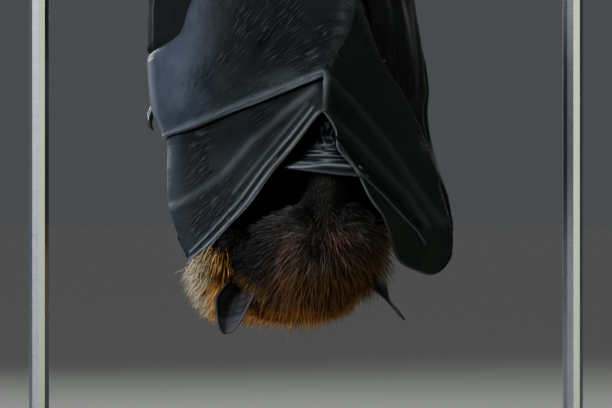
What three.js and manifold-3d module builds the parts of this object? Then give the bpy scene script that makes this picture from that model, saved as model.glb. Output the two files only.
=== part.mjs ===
// A large fruit bat (flying fox) asleep under a cut branch, wrapped in its wings,
// as a life-size display model on a plain stand.
// Millimetres, +Z up. The belly faces -Y, and +X is the bat's own right.
// The origin is the centre of the underside of the stand's base.
import * as THREE from 'three';
import { mergeVertices } from 'three/addons/utils/BufferGeometryUtils.js';
import Module from 'manifold-3d';

const wasm = await Module();
wasm.setup();

// ---------- driving dimensions ----------
const GAP = 0.3;                     // clearance between neighbouring solids
const MEMBRANE = 1.2;                // thickness of a wing membrane
const OUTER_LAYER = 0;               // inset of the right wing, which lies on top
const INNER_LAYER = 3.5;             // inset of the left wing, which lies under it
const LIMB_LAYER = INNER_LAYER + MEMBRANE + GAP;  // inset where the arms begin
const ON_TOP = -2.6;                 // inset of the centre of a finger on the right wing
const UNDER_SHEET = LIMB_LAYER + 2.7;  // and of one under the left wing
const FINGER_STEP = 13;
const EMERGE = { low: 126, high: 147, inset: 0.8 };  // where the left wing comes out from under the right

const BASE = { length: 300, depth: 170, height: 14, corner: 12, bevel: 1.5 };
const ROD = { radius: 4.5, x: 116, foot: 6 };
const PERCH = { radius: 12, length: 272, y: 2, z: 372, socket: 8, sides: 12 };

// The wrapped wings are one long envelope. Each station gives its outline at a height:
// left and right side, the keel line in front, and the y of front, widest part and back.
const STATIONS = [
  { z: 94, left: -45, right: 60, keel: 8, front: -27, wide: -17, back: 38 },
  { z: 110, left: -53, right: 63.8, keel: 8, front: -37, wide: -12, back: 46 },
  { z: 125, left: -58, right: 61, keel: 8, front: -46, wide: -7, back: 50 },
  { z: 140, left: -59.2, right: 57.2, keel: 8, front: -54, wide: -2, back: 52 },
  { z: 154, left: -59.8, right: 52.5, keel: 8, front: -60, wide: 3, back: 53 },
  { z: 165, left: -65.8, right: 51, keel: 8, front: -64, wide: 6, back: 53 },
  { z: 178, left: -67.7, right: 52, keel: 8.5, front: -65, wide: 10, back: 53 },
  { z: 210, left: -69.2, right: 46, keel: 20, front: -55, wide: 20, back: 53 },
  { z: 240, left: -68, right: 42, keel: 4, front: -44, wide: 26, back: 52 },
  { z: 270, left: -59, right: 27, keel: -12, front: -31, wide: 27, back: 49 },
  { z: 300, left: -46, right: 9, keel: -18, front: -14, wide: 25, back: 43 },
  { z: 345, left: -37, right: -3, keel: -20, front: 2, wide: 22, back: 36 },
];
const ROOF_SHARE = 0.5;              // how far the front is a roof with its ridge on the keel

// Trunk, neck and head: centre, half width and half depth of the coat at each height.
const CHEST = [
  { z: 116.3, x: -5, y: 15, a: 31, b: 27 },
  { z: 135, x: -5, y: 16, a: 32, b: 27 },
  { z: 160, x: -7, y: 18, a: 33, b: 29 },
  { z: 184, x: -9, y: 19, a: 31, b: 28 },
];
const ABDOMEN = [
  { z: 184.3, x: -9, y: 19, a: 31, b: 28 },
  { z: 205, x: -11, y: 20, a: 30, b: 27 },
  { z: 228, x: -14, y: 21, a: 27, b: 24 },
  { z: 246, x: -16, y: 22, a: 22, b: 19 },
  { z: 257, x: -17, y: 23, a: 13, b: 11 },
  { z: 262, x: -17, y: 23, a: 4, b: 4 },
];
const NECK = [
  { z: 77.5, x: -15, y: 8, a: 14, b: 10 },
  { z: 79.5, x: -15, y: 9, a: 30, b: 20 },
  { z: 87, x: -13, y: 10, a: 40, b: 27 },
  { z: 97, x: -10, y: 12, a: 42, b: 30 },
  { z: 107, x: -6, y: 14, a: 37, b: 29 },
  { z: 116, x: -5, y: 15, a: 31, b: 27 },
];
const HEAD = [
  { z: 74.5, x: -5, y: -17, a: 11, b: 8 },
  { z: 76.5, x: -5, y: -17, a: 20, b: 15 },
  { z: 80, x: -4.5, y: -18, a: 24.5, b: 19.5 },
  { z: 87, x: -3, y: -20, a: 28, b: 23 },
  { z: 95, x: -0.5, y: -22, a: 31, b: 25.5 },
  { z: 104, x: 0.5, y: -23.5, a: 32, b: 25.5 },
  { z: 111, x: 3, y: -25, a: 29, b: 23 },
  { z: 117, x: 6, y: -26.5, a: 23, b: 19.5 },
  { z: 123, x: 8, y: -28, a: 15.5, b: 15.5 },
  { z: 131, x: 9, y: -29, a: 10.5, b: 12.5 },
  { z: 140, x: 9.5, y: -30, a: 9, b: 10 },
  { z: 147, x: 10, y: -30.5, a: 7.5, b: 8 },
];
const JAW = [
  { z: 112, x: 6, y: -13.5, a: 9, b: 2.2 },
  { z: 120, x: 8, y: -14, a: 10, b: 4 },
  { z: 131, x: 9, y: -17, a: 8, b: 5 },
  { z: 140, x: 9.5, y: -20, a: 6, b: 4.5 },
  { z: 145, x: 10, y: -21.5, a: 3.5, b: 3 },
];
const NOSE = { x: 10, y: -31, z: 150, a: 6.5, b: 6, height: 4.5 };
const EYE = { radius: 5.6, spread: 10.3, x: 8.6, y: -38.2, z: 119, tilt: 1 };

const HIP = { spread: 12, y: 24, z: 240 };
const KNEE = { spread: 19, y: 23.5, z: 291 };
const ANKLE = { spread: 14, y: 21, z: 349 };
const LEG_LEAN = [-16, -19, -20];    // x of the body's axis at hip, knee and ankle

// ---------- colours ----------
const finish = (color, roughness, metalness = 0) =>
  new THREE.MeshStandardMaterial({ color, roughness, metalness });
const MATERIALS = {
  membrane: finish('#2b2d33', 0.5),
  finger: finish('#3a3b40', 0.5),
  face: finish('#2a1c14', 0.9),
  coat: finish('#5a3a22', 0.95),
  mantle: finish('#b9792e', 0.95),
  bareSkin: finish('#2e2d33', 0.6),
  eye: finish('#0c0a09', 0.1),
  claw: finish('#1b1715', 0.35),
  bark: finish('#5e4a3a', 0.9),
  base: finish('#33271f', 0.5),
  rod: finish('#a7a9ab', 0.35, 1),
};

// ---------- helpers ----------
const model = new THREE.Group();

function addMesh(name, geometry, material) {
  const mesh = new THREE.Mesh(geometry, material);
  mesh.name = name;
  model.add(mesh);
  return mesh;
}

function signedVolume(points, faces) {
  let total = 0;
  for (const [i, j, k] of faces) {
    total += points[i].dot(new THREE.Vector3().crossVectors(points[j], points[k])) / 6;
  }
  return total;
}

/** A closed mesh from points and faces, turned so that its faces point out. */
function closedGeometry(points, faces) {
  if (signedVolume(points, faces) < 0) faces.forEach((face) => face.reverse());
  const geometry = new THREE.BufferGeometry().setFromPoints(points);
  geometry.setIndex(faces.flat());
  return geometry;
}

function toSolid(geometry) {
  const bare = geometry.clone();
  for (const extra of ['normal', 'uv']) bare.deleteAttribute(extra);
  const merged = mergeVertices(bare, 1e-4);
  return new wasm.Manifold(new wasm.Mesh({
    numProp: 3,
    vertProperties: new Float32Array(merged.attributes.position.array),
    triVerts: new Uint32Array(merged.index.array),
  }));
}

function fromSolid(solid) {
  const mesh = solid.getMesh();
  const geometry = new THREE.BufferGeometry();
  geometry.setAttribute('position', new THREE.BufferAttribute(new Float32Array(mesh.vertProperties), 3));
  geometry.setIndex(new THREE.BufferAttribute(new Uint32Array(mesh.triVerts), 1));
  return geometry;
}

const join = (...pieces) => fromSolid(pieces.map(toSolid).reduce((sum, piece) => sum.add(piece)));
const carve = (piece, ...cutters) =>
  fromSolid(cutters.map(toSolid).reduce((rest, cutter) => rest.subtract(cutter), toSolid(piece)));

/** Smooth value of one column of a table of stations at height z. */
function along(stations, key, z) {
  const last = stations.length - 1;
  let i = 0;
  while (i < last - 1 && z > stations[i + 1].z) i += 1;
  const slope = (n) => {
    const a = stations[Math.max(n - 1, 0)];
    const b = stations[Math.min(n + 1, last)];
    return (b[key] - a[key]) / (b.z - a.z);
  };
  const [p, q] = [stations[i], stations[i + 1]];
  const h = q.z - p.z;
  const t = THREE.MathUtils.clamp((z - p.z) / h, 0, 1);
  const [t2, t3] = [t * t, t * t * t];
  return (2 * t3 - 3 * t2 + 1) * p[key] + (t3 - 2 * t2 + t) * h * slope(i)
    + (3 * t2 - 2 * t3) * q[key] + (t3 - t2) * h * slope(i + 1);
}

/** A point on the wings' envelope: phi is 0 on the keel, +-90 degrees at the sides. */
function wrapPoint(phi, z, inset) {
  const [keel, left, right, front, wide, back] = ['keel', 'left', 'right', 'front', 'wide', 'back']
    .map((key) => along(STATIONS, key, z));
  const sine = Math.sin(phi);
  const cosine = Math.cos(phi);
  if (cosine < 0) {
    const x = (left + right) / 2 + ((right - left) / 2 - inset) * sine;
    return new THREE.Vector3(x, wide - (back - wide - inset) * cosine, z);
  }
  const x = keel + ((phi < 0 ? keel - left : right - keel) - inset) * sine;
  const roof = 1 - Math.abs(sine);
  const rise = cosine + ROOF_SHARE * (roof - cosine);
  return new THREE.Vector3(x, wide - (wide - front - inset) * rise, z);
}

/** Edge marks: by x on the front of the envelope, or by the angle round it. */
function front(x, z) {
  const keel = along(STATIONS, 'keel', z);
  const reach = x < keel ? keel - along(STATIONS, 'left', z) : along(STATIONS, 'right', z) - keel;
  return { phi: Math.asin(THREE.MathUtils.clamp((x - keel) / reach, -1, 1)), z };
}
const round = (degrees, z) => ({ phi: THREE.MathUtils.degToRad(degrees), z });

/** Finger and edge lines are straight between marks on the envelope; steps are about 8 mm. */
const mix = (a, b, t) => ({ phi: a.phi + (b.phi - a.phi) * t, z: a.z + (b.z - a.z) * t });
const onWrap = (mark, inset) => wrapPoint(mark.phi, mark.z, inset);

/** A membrane ruled between two rows of edge marks. */
function membrane(pairs, inset, rows, stepLength = 14, thickness = MEMBRANE) {
  const columns = [pairs[0]];
  for (let i = 1; i < pairs.length; i += 1) {
    const [a, b] = [pairs[i - 1], pairs[i]];
    const span = Math.max(
      onWrap(a[0], 0).distanceTo(onWrap(b[0], 0)),
      onWrap(a[1], 0).distanceTo(onWrap(b[1], 0)),
    );
    const steps = Math.max(1, Math.round(span / stepLength));
    for (let s = 1; s <= steps; s += 1) {
      columns.push([mix(a[0], b[0], s / steps), mix(a[1], b[1], s / steps)]);
    }
  }
  const point = (column, row, depth) => onWrap(mix(column[0], column[1], row / rows), depth);
  const insetAt = typeof inset === 'function' ? inset : () => inset;
  return shell(columns.length - 1, rows, (i, j, side) => {
    const depth = insetAt(mix(columns[i][0], columns[i][1], j / rows)) + side * thickness;
    return point(columns[i], j, depth);
  });
}

/** The left wing comes out to the envelope below the right wing's edge. */
const leftInset = ({ phi, z }) => {
  const covered = THREE.MathUtils.smoothstep(z, EMERGE.low, EMERGE.high);
  return INNER_LAYER - (phi < 0 ? (INNER_LAYER - EMERGE.inset) * (1 - covered) : 0);
};

/** A thin closed shell over a grid; place(i, j, side) gives both faces, side 0 and 1. */
function shell(columns, rows, place) {
  const points = [];
  const faces = [];
  const index = (i, j, side) => side * (columns + 1) * (rows + 1) + i * (rows + 1) + j;
  for (const side of [0, 1]) {
    for (let i = 0; i <= columns; i += 1) {
      for (let j = 0; j <= rows; j += 1) points.push(place(i, j, side));
    }
  }
  const quad = (a, b, c, d) => faces.push([a, b, c], [a, c, d]);
  for (let i = 0; i < columns; i += 1) {
    for (let j = 0; j < rows; j += 1) {
      quad(index(i, j, 0), index(i + 1, j, 0), index(i + 1, j + 1, 0), index(i, j + 1, 0));
      quad(index(i, j, 1), index(i, j + 1, 1), index(i + 1, j + 1, 1), index(i + 1, j, 1));
    }
    quad(index(i, 0, 0), index(i, 0, 1), index(i + 1, 0, 1), index(i + 1, 0, 0));
    quad(index(i, rows, 0), index(i + 1, rows, 0), index(i + 1, rows, 1), index(i, rows, 1));
  }
  for (let j = 0; j < rows; j += 1) {
    quad(index(0, j, 0), index(0, j + 1, 0), index(0, j + 1, 1), index(0, j, 1));
    quad(index(columns, j, 0), index(columns, j, 1), index(columns, j + 1, 1), index(columns, j + 1, 0));
  }
  return closedGeometry(points, faces);
}

/** A solid of level oval rings, closed by a flat or pointed end. */
function oval(rings, grow = 0, sides = 16, stepLength = 14) {
  const levels = [];
  rings.forEach((ring, i) => {
    if (i > 0) {
      const before = rings[i - 1];
      const steps = Math.max(1, Math.round((ring.z - before.z) / stepLength));
      for (let s = 1; s < steps; s += 1) levels.push(before.z + ((ring.z - before.z) * s) / steps);
    }
    levels.push(ring.z);
  });
  const loops = levels.map((z, n) => {
    const [x, y, a, b] = ['x', 'y', 'a', 'b'].map((key) => along(rings, key, z));
    const shift = n === 0 ? -grow : (n === levels.length - 1 ? grow : 0);
    return Array.from({ length: sides }, (_, s) => {
      const angle = (2 * Math.PI * s) / sides;
      return new THREE.Vector3(x + (a + grow) * Math.sin(angle), y - (b + grow) * Math.cos(angle), z + shift);
    });
  });
  return capped(loops);
}

/** Joins rings of points into a closed body with a fan at each end. */
function capped(loops) {
  const sides = loops[0].length;
  const points = loops.flat();
  const faces = [];
  for (let n = 0; n + 1 < loops.length; n += 1) {
    for (let s = 0; s < sides; s += 1) {
      const [a, b] = [n * sides + s, n * sides + ((s + 1) % sides)];
      faces.push([a, b, b + sides], [a, b + sides, a + sides]);
    }
  }
  const centre = (loop) => loop.reduce((sum, p) => sum.add(p), new THREE.Vector3()).divideScalar(sides);
  const [start, end] = [points.length, points.length + 1];
  const top = (loops.length - 1) * sides;
  points.push(centre(loops[0]), centre(loops[loops.length - 1]));
  for (let s = 0; s < sides; s += 1) {
    const next = (s + 1) % sides;
    faces.push([start, next, s], [end, top + s, top + next]);
  }
  return closedGeometry(points, faces);
}

/** A round limb along a smooth curve, cut into even steps. */
function limb(path, radii, { grow = 0, sides = 8, steps = 10 } = {}) {
  const curve = new THREE.CatmullRomCurve3(path, false, 'centripetal');
  return bentLimb(curve.getSpacedPoints(steps), radii, sides, grow);
}

/** A round limb through given centres; radii are spread evenly over them, and the ends are domed. */
function bentLimb(centres, radii, sides, grow = 0) {
  const steps = centres.length - 1;
  const radiusAt = (t) => {
    const place = t * (radii.length - 1);
    const i = Math.min(Math.floor(place), radii.length - 2);
    return THREE.MathUtils.lerp(radii[i], radii[i + 1], place - i) + grow;
  };
  const tangents = centres.map((_, n) => new THREE.Vector3().subVectors(
    centres[Math.min(n + 1, steps)], centres[Math.max(n - 1, 0)],
  ).normalize());
  const across = new THREE.Vector3(0.31, 0.87, 0.38);
  const rings = centres.map((centre, n) => {
    across.addScaledVector(tangents[n], -across.dot(tangents[n])).normalize();
    const up = new THREE.Vector3().crossVectors(tangents[n], across);
    return { centre, tangent: tangents[n], across: across.clone(), up, radius: radiusAt(n / steps) };
  });
  const circle = ({ centre, tangent, across: u, up, radius }, size, push) =>
    Array.from({ length: sides }, (_, s) => {
      const angle = (2 * Math.PI * s) / sides;
      return centre.clone()
        .addScaledVector(u, radius * size * Math.cos(angle))
        .addScaledVector(up, radius * size * Math.sin(angle))
        .addScaledVector(tangent, radius * push);
    });
  const dome = [[0.55, 0.8]];          // share of the radius, and how far past the end
  const loops = [
    ...dome.map(([size, push]) => circle(rings[0], size, -push)),
    ...rings.map((ring) => circle(ring, 1, 0)),
    ...dome.map(([size, push]) => circle(rings[steps], size, push)),
  ];
  return capped(loops);
}

// ---------- stand and perch ----------
function makeStand() {
  const { length, depth, height, corner, bevel } = BASE;
  const [x, y] = [length / 2 - bevel, depth / 2 - bevel];
  const outline = new THREE.Shape();
  outline.moveTo(-x + corner, -y);
  outline.lineTo(x - corner, -y);
  outline.absarc(x - corner, -y + corner, corner, -Math.PI / 2, 0);
  outline.absarc(x - corner, y - corner, corner, 0, Math.PI / 2);
  outline.absarc(-x + corner, y - corner, corner, Math.PI / 2, Math.PI);
  outline.absarc(-x + corner, -y + corner, corner, Math.PI, 1.5 * Math.PI);
  const plate = new THREE.ExtrudeGeometry(outline, {
    depth: height - 2 * bevel, bevelSize: bevel, bevelThickness: bevel, bevelSegments: 1, curveSegments: 3,
  });
  plate.translate(0, 0, bevel);
  const sides = [['left', -1], ['right', 1]];
  const post = (radius, low, high, side) => {
    const rod = new THREE.CylinderGeometry(radius, radius, high - low, 10);
    rod.rotateX(Math.PI / 2);
    return rod.translate(side * ROD.x, PERCH.y, (low + high) / 2);
  };
  const socketTop = PERCH.z - PERCH.radius + PERCH.socket;
  const sockets = sides.map(([, side]) => post(ROD.radius + GAP, ROD.foot, height + 1, side));
  addMesh('stand_base', carve(plate, ...sockets), MATERIALS.base);
  for (const [name, side] of sides) {
    addMesh(`stand_rod_${name}`, post(ROD.radius, ROD.foot + GAP, socketTop - GAP, side), MATERIALS.rod);
  }
  addMesh('perch', carve(
    perchBranch(),
    ...sides.map(([, side]) => post(ROD.radius + GAP, PERCH.z - 2 * PERCH.radius, socketTop, side)),
  ), MATERIALS.bark);
}

/** A nearly straight cut branch: rings that swell a little at two old knots. */
function perchBranch(grow = 0) {
  const rings = 11;
  const loops = [];
  for (let n = 0; n <= rings; n += 1) {
    const x = PERCH.length * (n / rings - 0.5);
    const knot = Math.exp(-(((x + 78) / 9) ** 2)) + 0.8 * Math.exp(-(((x - 88) / 8) ** 2));
    const radius = PERCH.radius + 1.6 * knot + grow;
    loops.push(Array.from({ length: PERCH.sides }, (_, s) => {
      const angle = (2 * Math.PI * s) / PERCH.sides;
      return new THREE.Vector3(x, PERCH.y + radius * Math.cos(angle), PERCH.z + radius * Math.sin(angle));
    }));
  }
  return capped(loops);
}

// ---------- trunk, neck and head ----------
function makeBody(arms) {
  const head = [oval(HEAD, GAP), oval(JAW, GAP, 12)];
  addMesh('chest', carve(oval(CHEST), ...head, ...arms), MATERIALS.coat);
  addMesh('abdomen', carve(oval(ABDOMEN), ...arms, ...['left', 'right'].map((s) => thigh(s, GAP))), MATERIALS.coat);
  addMesh('neck', carve(oval(NECK), ...head, ...arms), MATERIALS.mantle);
}

const eyeBall = (side, grow = 0) => new THREE.SphereGeometry(EYE.radius + grow, 9, 6)
  .translate(EYE.x + side * EYE.spread, EYE.y, EYE.z + side * EYE.tilt);

function makeHead() {
  const skull = carve(oval(HEAD), eyeBall(-1, GAP), eyeBall(1, GAP), oval(JAW, GAP, 12));
  addMesh('head', skull, MATERIALS.face);
  addMesh('lower_jaw', oval(JAW, 0, 12), MATERIALS.face);
  addMesh('eye_left', eyeBall(-1), MATERIALS.eye);
  addMesh('eye_right', eyeBall(1), MATERIALS.eye);
  const nose = new THREE.SphereGeometry(1, 10, 6).scale(NOSE.a, NOSE.b, NOSE.height);
  nose.translate(NOSE.x, NOSE.y, NOSE.z);
  addMesh('nose', carve(nose, oval(HEAD, GAP)), MATERIALS.bareSkin);
  EARS.forEach((ear) => addMesh(ear.name, carve(earShell(ear), oval(HEAD, GAP)), MATERIALS.bareSkin));
}

// Each ear is a cupped leaf: base and tip of its axis, half width, and the side it opens to.
const EARS = [
  {
    name: 'ear_left', base: [-26, -27, 98], tip: [-32.8, -33, 70.6], width: 8.6,
    across: [1, -0.1, 0.1], opens: [-0.1, -1, 0.1],
  },
  {
    name: 'ear_right', base: [24, -25, 96], tip: [41.5, -30, 76.5], width: 8,
    across: [0.15, -1, 0], opens: [0.75, 0.1, 0.65],
  },
];
function earShell({ base, tip, width, across, opens }) {
  const [start, end] = [new THREE.Vector3(...base), new THREE.Vector3(...tip)];
  const [side, mouth] = [new THREE.Vector3(...across).normalize(), new THREE.Vector3(...opens).normalize()];
  const thickness = 0.6;
  const [columns, rows] = [7, 6];
  return shell(columns, rows, (i, j, face) => {
    const t = j / rows;
    const bend = (i / columns - 0.5) * Math.PI * (0.95 - 0.45 * t);
    const half = width * (0.62 + 0.38 * Math.sin(Math.PI * Math.min(t * 1.5, 0.5))) * (1 - t ** 3.2) + 0.8;
    const depth = half * 0.75 * (1 - 0.35 * t);
    const offset = (face === 0 ? -1 : 1) * thickness;
    return start.clone().lerp(end, t)
      .addScaledVector(side, (half + offset) * Math.sin(bend))
      .addScaledVector(mouth, -(depth + offset) * Math.cos(bend) + depth * 0.6);
  });
}

// ---------- legs ----------
const legPoint = (joint, lean, side) => new THREE.Vector3(lean + side * joint.spread, joint.y, joint.z);
const sign = (name) => (name === 'left' ? -1 : 1);

const thigh = (name, grow = 0) => limb([
  legPoint(HIP, LEG_LEAN[0], sign(name)), legPoint(KNEE, LEG_LEAN[1], sign(name)),
], [12, 10, 7.5], { grow, steps: 3 });
const shank = (name, grow = 0) => limb([
  legPoint(KNEE, LEG_LEAN[1], sign(name)), legPoint(ANKLE, LEG_LEAN[2], sign(name)),
], [7, 5.5, 3.8], { grow, sides: 7, steps: 3 });

/** A foot goes up behind the perch, and its five clawed toes curl over to the front. */
function foot(name) {
  const ankle = legPoint(ANKLE, LEG_LEAN[2], sign(name));
  const grip = PERCH.radius + GAP + 2.6;
  const sole = limb([
    ankle.clone(), new THREE.Vector3(ankle.x, PERCH.y + grip + 2.2, PERCH.z - 6),
  ], [3.8, 5.2], { sides: 6, steps: 2 });
  const toes = [-2, -1, 0, 1, 2].map((n) => {
    const path = [];
    const reach = n === -sign(name) * 2 ? 120 : 150;   // the first toe is a little shorter
    for (let s = 0; s <= 8; s += 1) {
      const share = s / 8;
      const angle = THREE.MathUtils.degToRad(-24 + (reach + 24) * share);
      const spread = ankle.x + n * (1.5 + 2.7 * Math.min(1, share * 2));
      const lift = grip + (s === 7 ? 1.0 : 0) - (s === 8 ? 1.4 : 0);
      path.push(new THREE.Vector3(spread, PERCH.y + lift * Math.cos(angle), PERCH.z + lift * Math.sin(angle)));
    }
    return limb(path, [2.3, 2.3, 2.1, 2.2, 1.9, 0.5], { sides: 5, steps: 6 });
  });
  return carve(join(sole, ...toes), perchBranch(GAP));
}

function makeLegs() {
  for (const name of ['left', 'right']) {
    addMesh(`thigh_${name}`, thigh(name), MATERIALS.coat);
    addMesh(`shank_${name}`, carve(shank(name), thigh(name, GAP)), MATERIALS.bareSkin);
    addMesh(`foot_${name}`, carve(foot(name), shank(name, GAP)), MATERIALS.bareSkin);
  }
}

// ---------- arms ----------
const ARM_SWING = 92;                 // angle of the forearm round the envelope, in degrees
function forearmPath(name) {
  return [112, 150, 195, 236].map((z, n) => onWrap(
    round(sign(name) * (ARM_SWING + 4 * n), z), LIMB_LAYER + [5, 5.8, 6.6, 8][n],
  ));
}
const forearm = (name, grow = 0) => limb(forearmPath(name), [4.6, 4.9, 6, 6.5], { grow, sides: 7, steps: 6 });
const upperArm = (name, grow = 0) => {
  const elbow = forearmPath(name)[3];
  const side = sign(name);
  return limb([
    new THREE.Vector3(-5 + side * 27, 15, 116), new THREE.Vector3(-7 + side * 32, 19, 165),
    elbow.clone().add(new THREE.Vector3(-side * 5, -2, -6)),
  ], [11.5, 10, 8, 6], { grow, sides: 7, steps: 5 });
};
const wristPoint = (name) => onWrap(round(sign(name) * 84, 105), LIMB_LAYER + 7.5);
const wrist = (name, grow = 0) => limb([
  wristPoint(name), onWrap(round(sign(name) * 90, 114), LIMB_LAYER + 5.5),
], [5, 4.6], { grow, steps: 2 });
const thumbPath = (name) => [[70, 112], [60, 124], [54, 136]].map(
  ([angle, z]) => onWrap(round(sign(name) * angle, z), LIMB_LAYER + 8),
);
const thumb = (name) => limb(thumbPath(name), [3.1, 2.6, 2.4], { steps: 4, sides: 6 });
function thumbClaw(name) {
  const end = thumbPath(name)[2];
  const inward = new THREE.Vector3(-sign(name), 0.3, 0);
  const path = [0, 0.5, 1].map((t) => end.clone()
    .addScaledVector(inward, 5 * t * t)
    .add(new THREE.Vector3(0, 0, 3 + 8 * Math.sin(t * 1.5))));
  return limb(path, [2.0, 1.5, 0.4], { steps: 3, sides: 5 });
}

function makeArms() {
  for (const name of ['left', 'right']) {
    addMesh(`upper_arm_${name}`, carve(upperArm(name), forearm(name, GAP)), MATERIALS.coat);
    addMesh(`forearm_${name}`, carve(forearm(name), wrist(name, GAP)), MATERIALS.bareSkin);
    addMesh(`wrist_${name}`, wrist(name), MATERIALS.bareSkin);
    addMesh(`thumb_${name}`, carve(thumb(name), wrist(name, GAP)), MATERIALS.finger);
    addMesh(`thumb_claw_${name}`, carve(thumbClaw(name), thumb(name, GAP)), MATERIALS.claw);
  }
}

// ---------- wings ----------
// Right wing, on top: pairs of a mark on its lower edge and one on its upper edge,
// from the far finger joint at the bat's left side, over the keel, round to the wrist.
const RIGHT_HAND = [
  [round(-97, 154), round(-97, 188)],
  [round(-90, 154), round(-84, 191)],
  [front(-48, 158.6), front(-57, 200)],
  [front(-25, 167), front(-48, 225)],
  [front(-8, 173.3), front(-37, 250)],
  [front(8, 179), front(-20, 272)],
  [front(8, 165), front(-2, 262)],
  [front(12.5, 152), front(12, 236)],
  [front(17, 141.5), front(25, 206)],
  [front(26, 126.8), front(35, 182)],
  [front(33, 116), front(43, 172)],
  [front(38, 106), front(52, 152)],
  [front(44, 99), round(82, 138)],
  [front(51, 96.5), round(90, 124)],
  [round(66, 98), round(96, 112)],
];
// Left wing, underneath: from its wrist, along the finger edge, and on under the right wing.
const LEFT_HAND = [
  [round(-89, 106), round(-89, 120)],
  [front(-49, 101.8), round(-89, 150)],
  [front(-39.3, 109.5), round(-89, 185)],
  [front(-25.7, 123.7), round(-88, 212)],
  [front(-15, 138.2), round(-80, 236)],
  [front(-4.8, 150.3), round(-62, 258)],
  [front(5, 163), round(-36, 272)],
  [round(14, 178), round(-8, 274)],
  [round(34, 186), round(22, 262)],
  [round(56, 188), round(50, 240)],
];
const SIDE_MEMBRANE = [
  [93, 112, 226], [106, 115, 262], [124, 119, 292], [144, 124, 318], [164, 130, 338],
];
const FOLD = [
  { x: [6, 13], z: 158, y: -51.5 },
  { x: [-1, 17], z: 150, y: -49.5 },
  { x: [-9.7, 21], z: 142.5, y: -44.5 },
];

/** A finger follows marks of the envelope, its centre at the given inset, in steps of about 11 mm. */
function finger(marks, inset, radii) {
  const path = [onWrap(marks[0], inset)];
  for (let i = 1; i < marks.length; i += 1) {
    const steps = Math.max(1, Math.round(path.at(-1).distanceTo(onWrap(marks[i], inset)) / FINGER_STEP));
    for (let s = 1; s <= steps; s += 1) path.push(onWrap(mix(marks[i - 1], marks[i], s / steps), inset));
  }
  return bentLimb(path, radii, 5);
}

function makeRightHand() {
  addMesh('membrane_hand_right', membrane(RIGHT_HAND, OUTER_LAYER, 8), MATERIALS.membrane);
  addMesh('finger_3_right', finger([
    round(72, 104), front(40, 121), front(8.2, 167), front(8, 177.5), front(-25, 169), round(-88, 157),
  ], ON_TOP, [1.9, 1.6, 1.5, 1.4, 1.3]), MATERIALS.finger);
  addMesh('finger_4_right', finger([
    round(80, 106), front(48, 133), front(14, 177), round(0, 181), front(3, 190), front(-28, 226), front(-26, 256),
  ], ON_TOP - 0.8, [1.8, 1.5, 1.4, 1.2, 1]), MATERIALS.finger);
  addMesh('finger_5_right', finger([
    round(86, 112), round(76, 138), front(44, 166), front(34.5, 178), front(22, 205), front(7, 236), front(-14, 262),
  ], ON_TOP, [1.8, 1.6, 1.5, 1.3, 1]), MATERIALS.finger);
}

function makeLeftHand() {
  addMesh('membrane_hand_left', membrane(LEFT_HAND, leftInset, 8), MATERIALS.membrane);
  addMesh('finger_4_left', finger([
    round(-70, 122), front(-40, 138), front(-14, 158), front(-1, 168), front(-3, 200), round(-30, 250),
  ], UNDER_SHEET, [1.5, 1.3, 1.2, 1]), MATERIALS.finger);
  addMesh('finger_5_left', finger([
    round(-77, 124), round(-77, 160), round(-76, 200), round(-66, 236), round(-44, 258),
  ], UNDER_SHEET, [1.5, 1.3, 1.2, 1]), MATERIALS.finger);
}

function makeSideMembranes() {
  for (const name of ['left', 'right']) {
    const pairs = SIDE_MEMBRANE.map(([angle, low, high]) =>
      [round(sign(name) * angle, low), round(sign(name) * angle, high)]);
    if (name === 'right') pairs.unshift([round(63, 132), round(63, 214)], [round(78, 118), round(78, 222)]);
    addMesh(`membrane_arm_${name}`, membrane(pairs, INNER_LAYER, 10, 15), MATERIALS.membrane);
  }
}

function makeFold() {
  const columns = 6;
  const geometry = shell(columns, FOLD.length - 1, (i, j, side) => {
    const { x, y, z } = FOLD[j];
    const t = (2 * i) / columns - 1;
    const drape = 9 * t * t * (j / (FOLD.length - 1));
    return new THREE.Vector3(THREE.MathUtils.lerp(x[0], x[1], i / columns), y + side * MEMBRANE + drape, z);
  });
  addMesh('membrane_fold', geometry, MATERIALS.membrane);
}

makeStand();
makeBody(['left', 'right'].flatMap((name) => [upperArm(name, GAP)]));
makeHead();
makeLegs();
makeArms();
makeRightHand();
makeLeftHand();
makeSideMembranes();
makeFold();

export default model;
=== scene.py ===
"""A life-size display model of a large fruit bat, asleep under a cut branch and wrapped in its wings."""

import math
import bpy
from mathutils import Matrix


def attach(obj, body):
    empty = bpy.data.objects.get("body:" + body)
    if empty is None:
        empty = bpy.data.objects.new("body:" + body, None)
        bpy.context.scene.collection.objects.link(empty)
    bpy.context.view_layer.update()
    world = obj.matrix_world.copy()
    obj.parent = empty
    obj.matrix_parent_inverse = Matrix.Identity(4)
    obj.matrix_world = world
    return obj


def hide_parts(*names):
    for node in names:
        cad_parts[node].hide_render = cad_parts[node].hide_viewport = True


bl_info = {
    "name": "Fruit bat display model",
    "version": (1, 0, 0),
    "blender": (4, 5, 0),
    "location": "View3D > Sidebar > Fruit bat",
    "description": "Dresses the packed frame of a hanging fruit bat with skin, wings, fur, branch and stand",
    "category": "Object",
}

import bmesh
import bpy
import numpy as np
from bpy.props import FloatProperty, FloatVectorProperty, PointerProperty
from mathutils import Vector

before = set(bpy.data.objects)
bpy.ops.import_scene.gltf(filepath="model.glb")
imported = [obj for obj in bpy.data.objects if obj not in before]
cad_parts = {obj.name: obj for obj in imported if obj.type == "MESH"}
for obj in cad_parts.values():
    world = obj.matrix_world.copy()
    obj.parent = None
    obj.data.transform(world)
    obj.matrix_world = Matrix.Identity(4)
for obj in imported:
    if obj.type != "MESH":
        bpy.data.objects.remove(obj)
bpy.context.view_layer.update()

MM = 0.001                       # the sizes below are in millimetres, Blender's in metres
BODY = "root"


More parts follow.
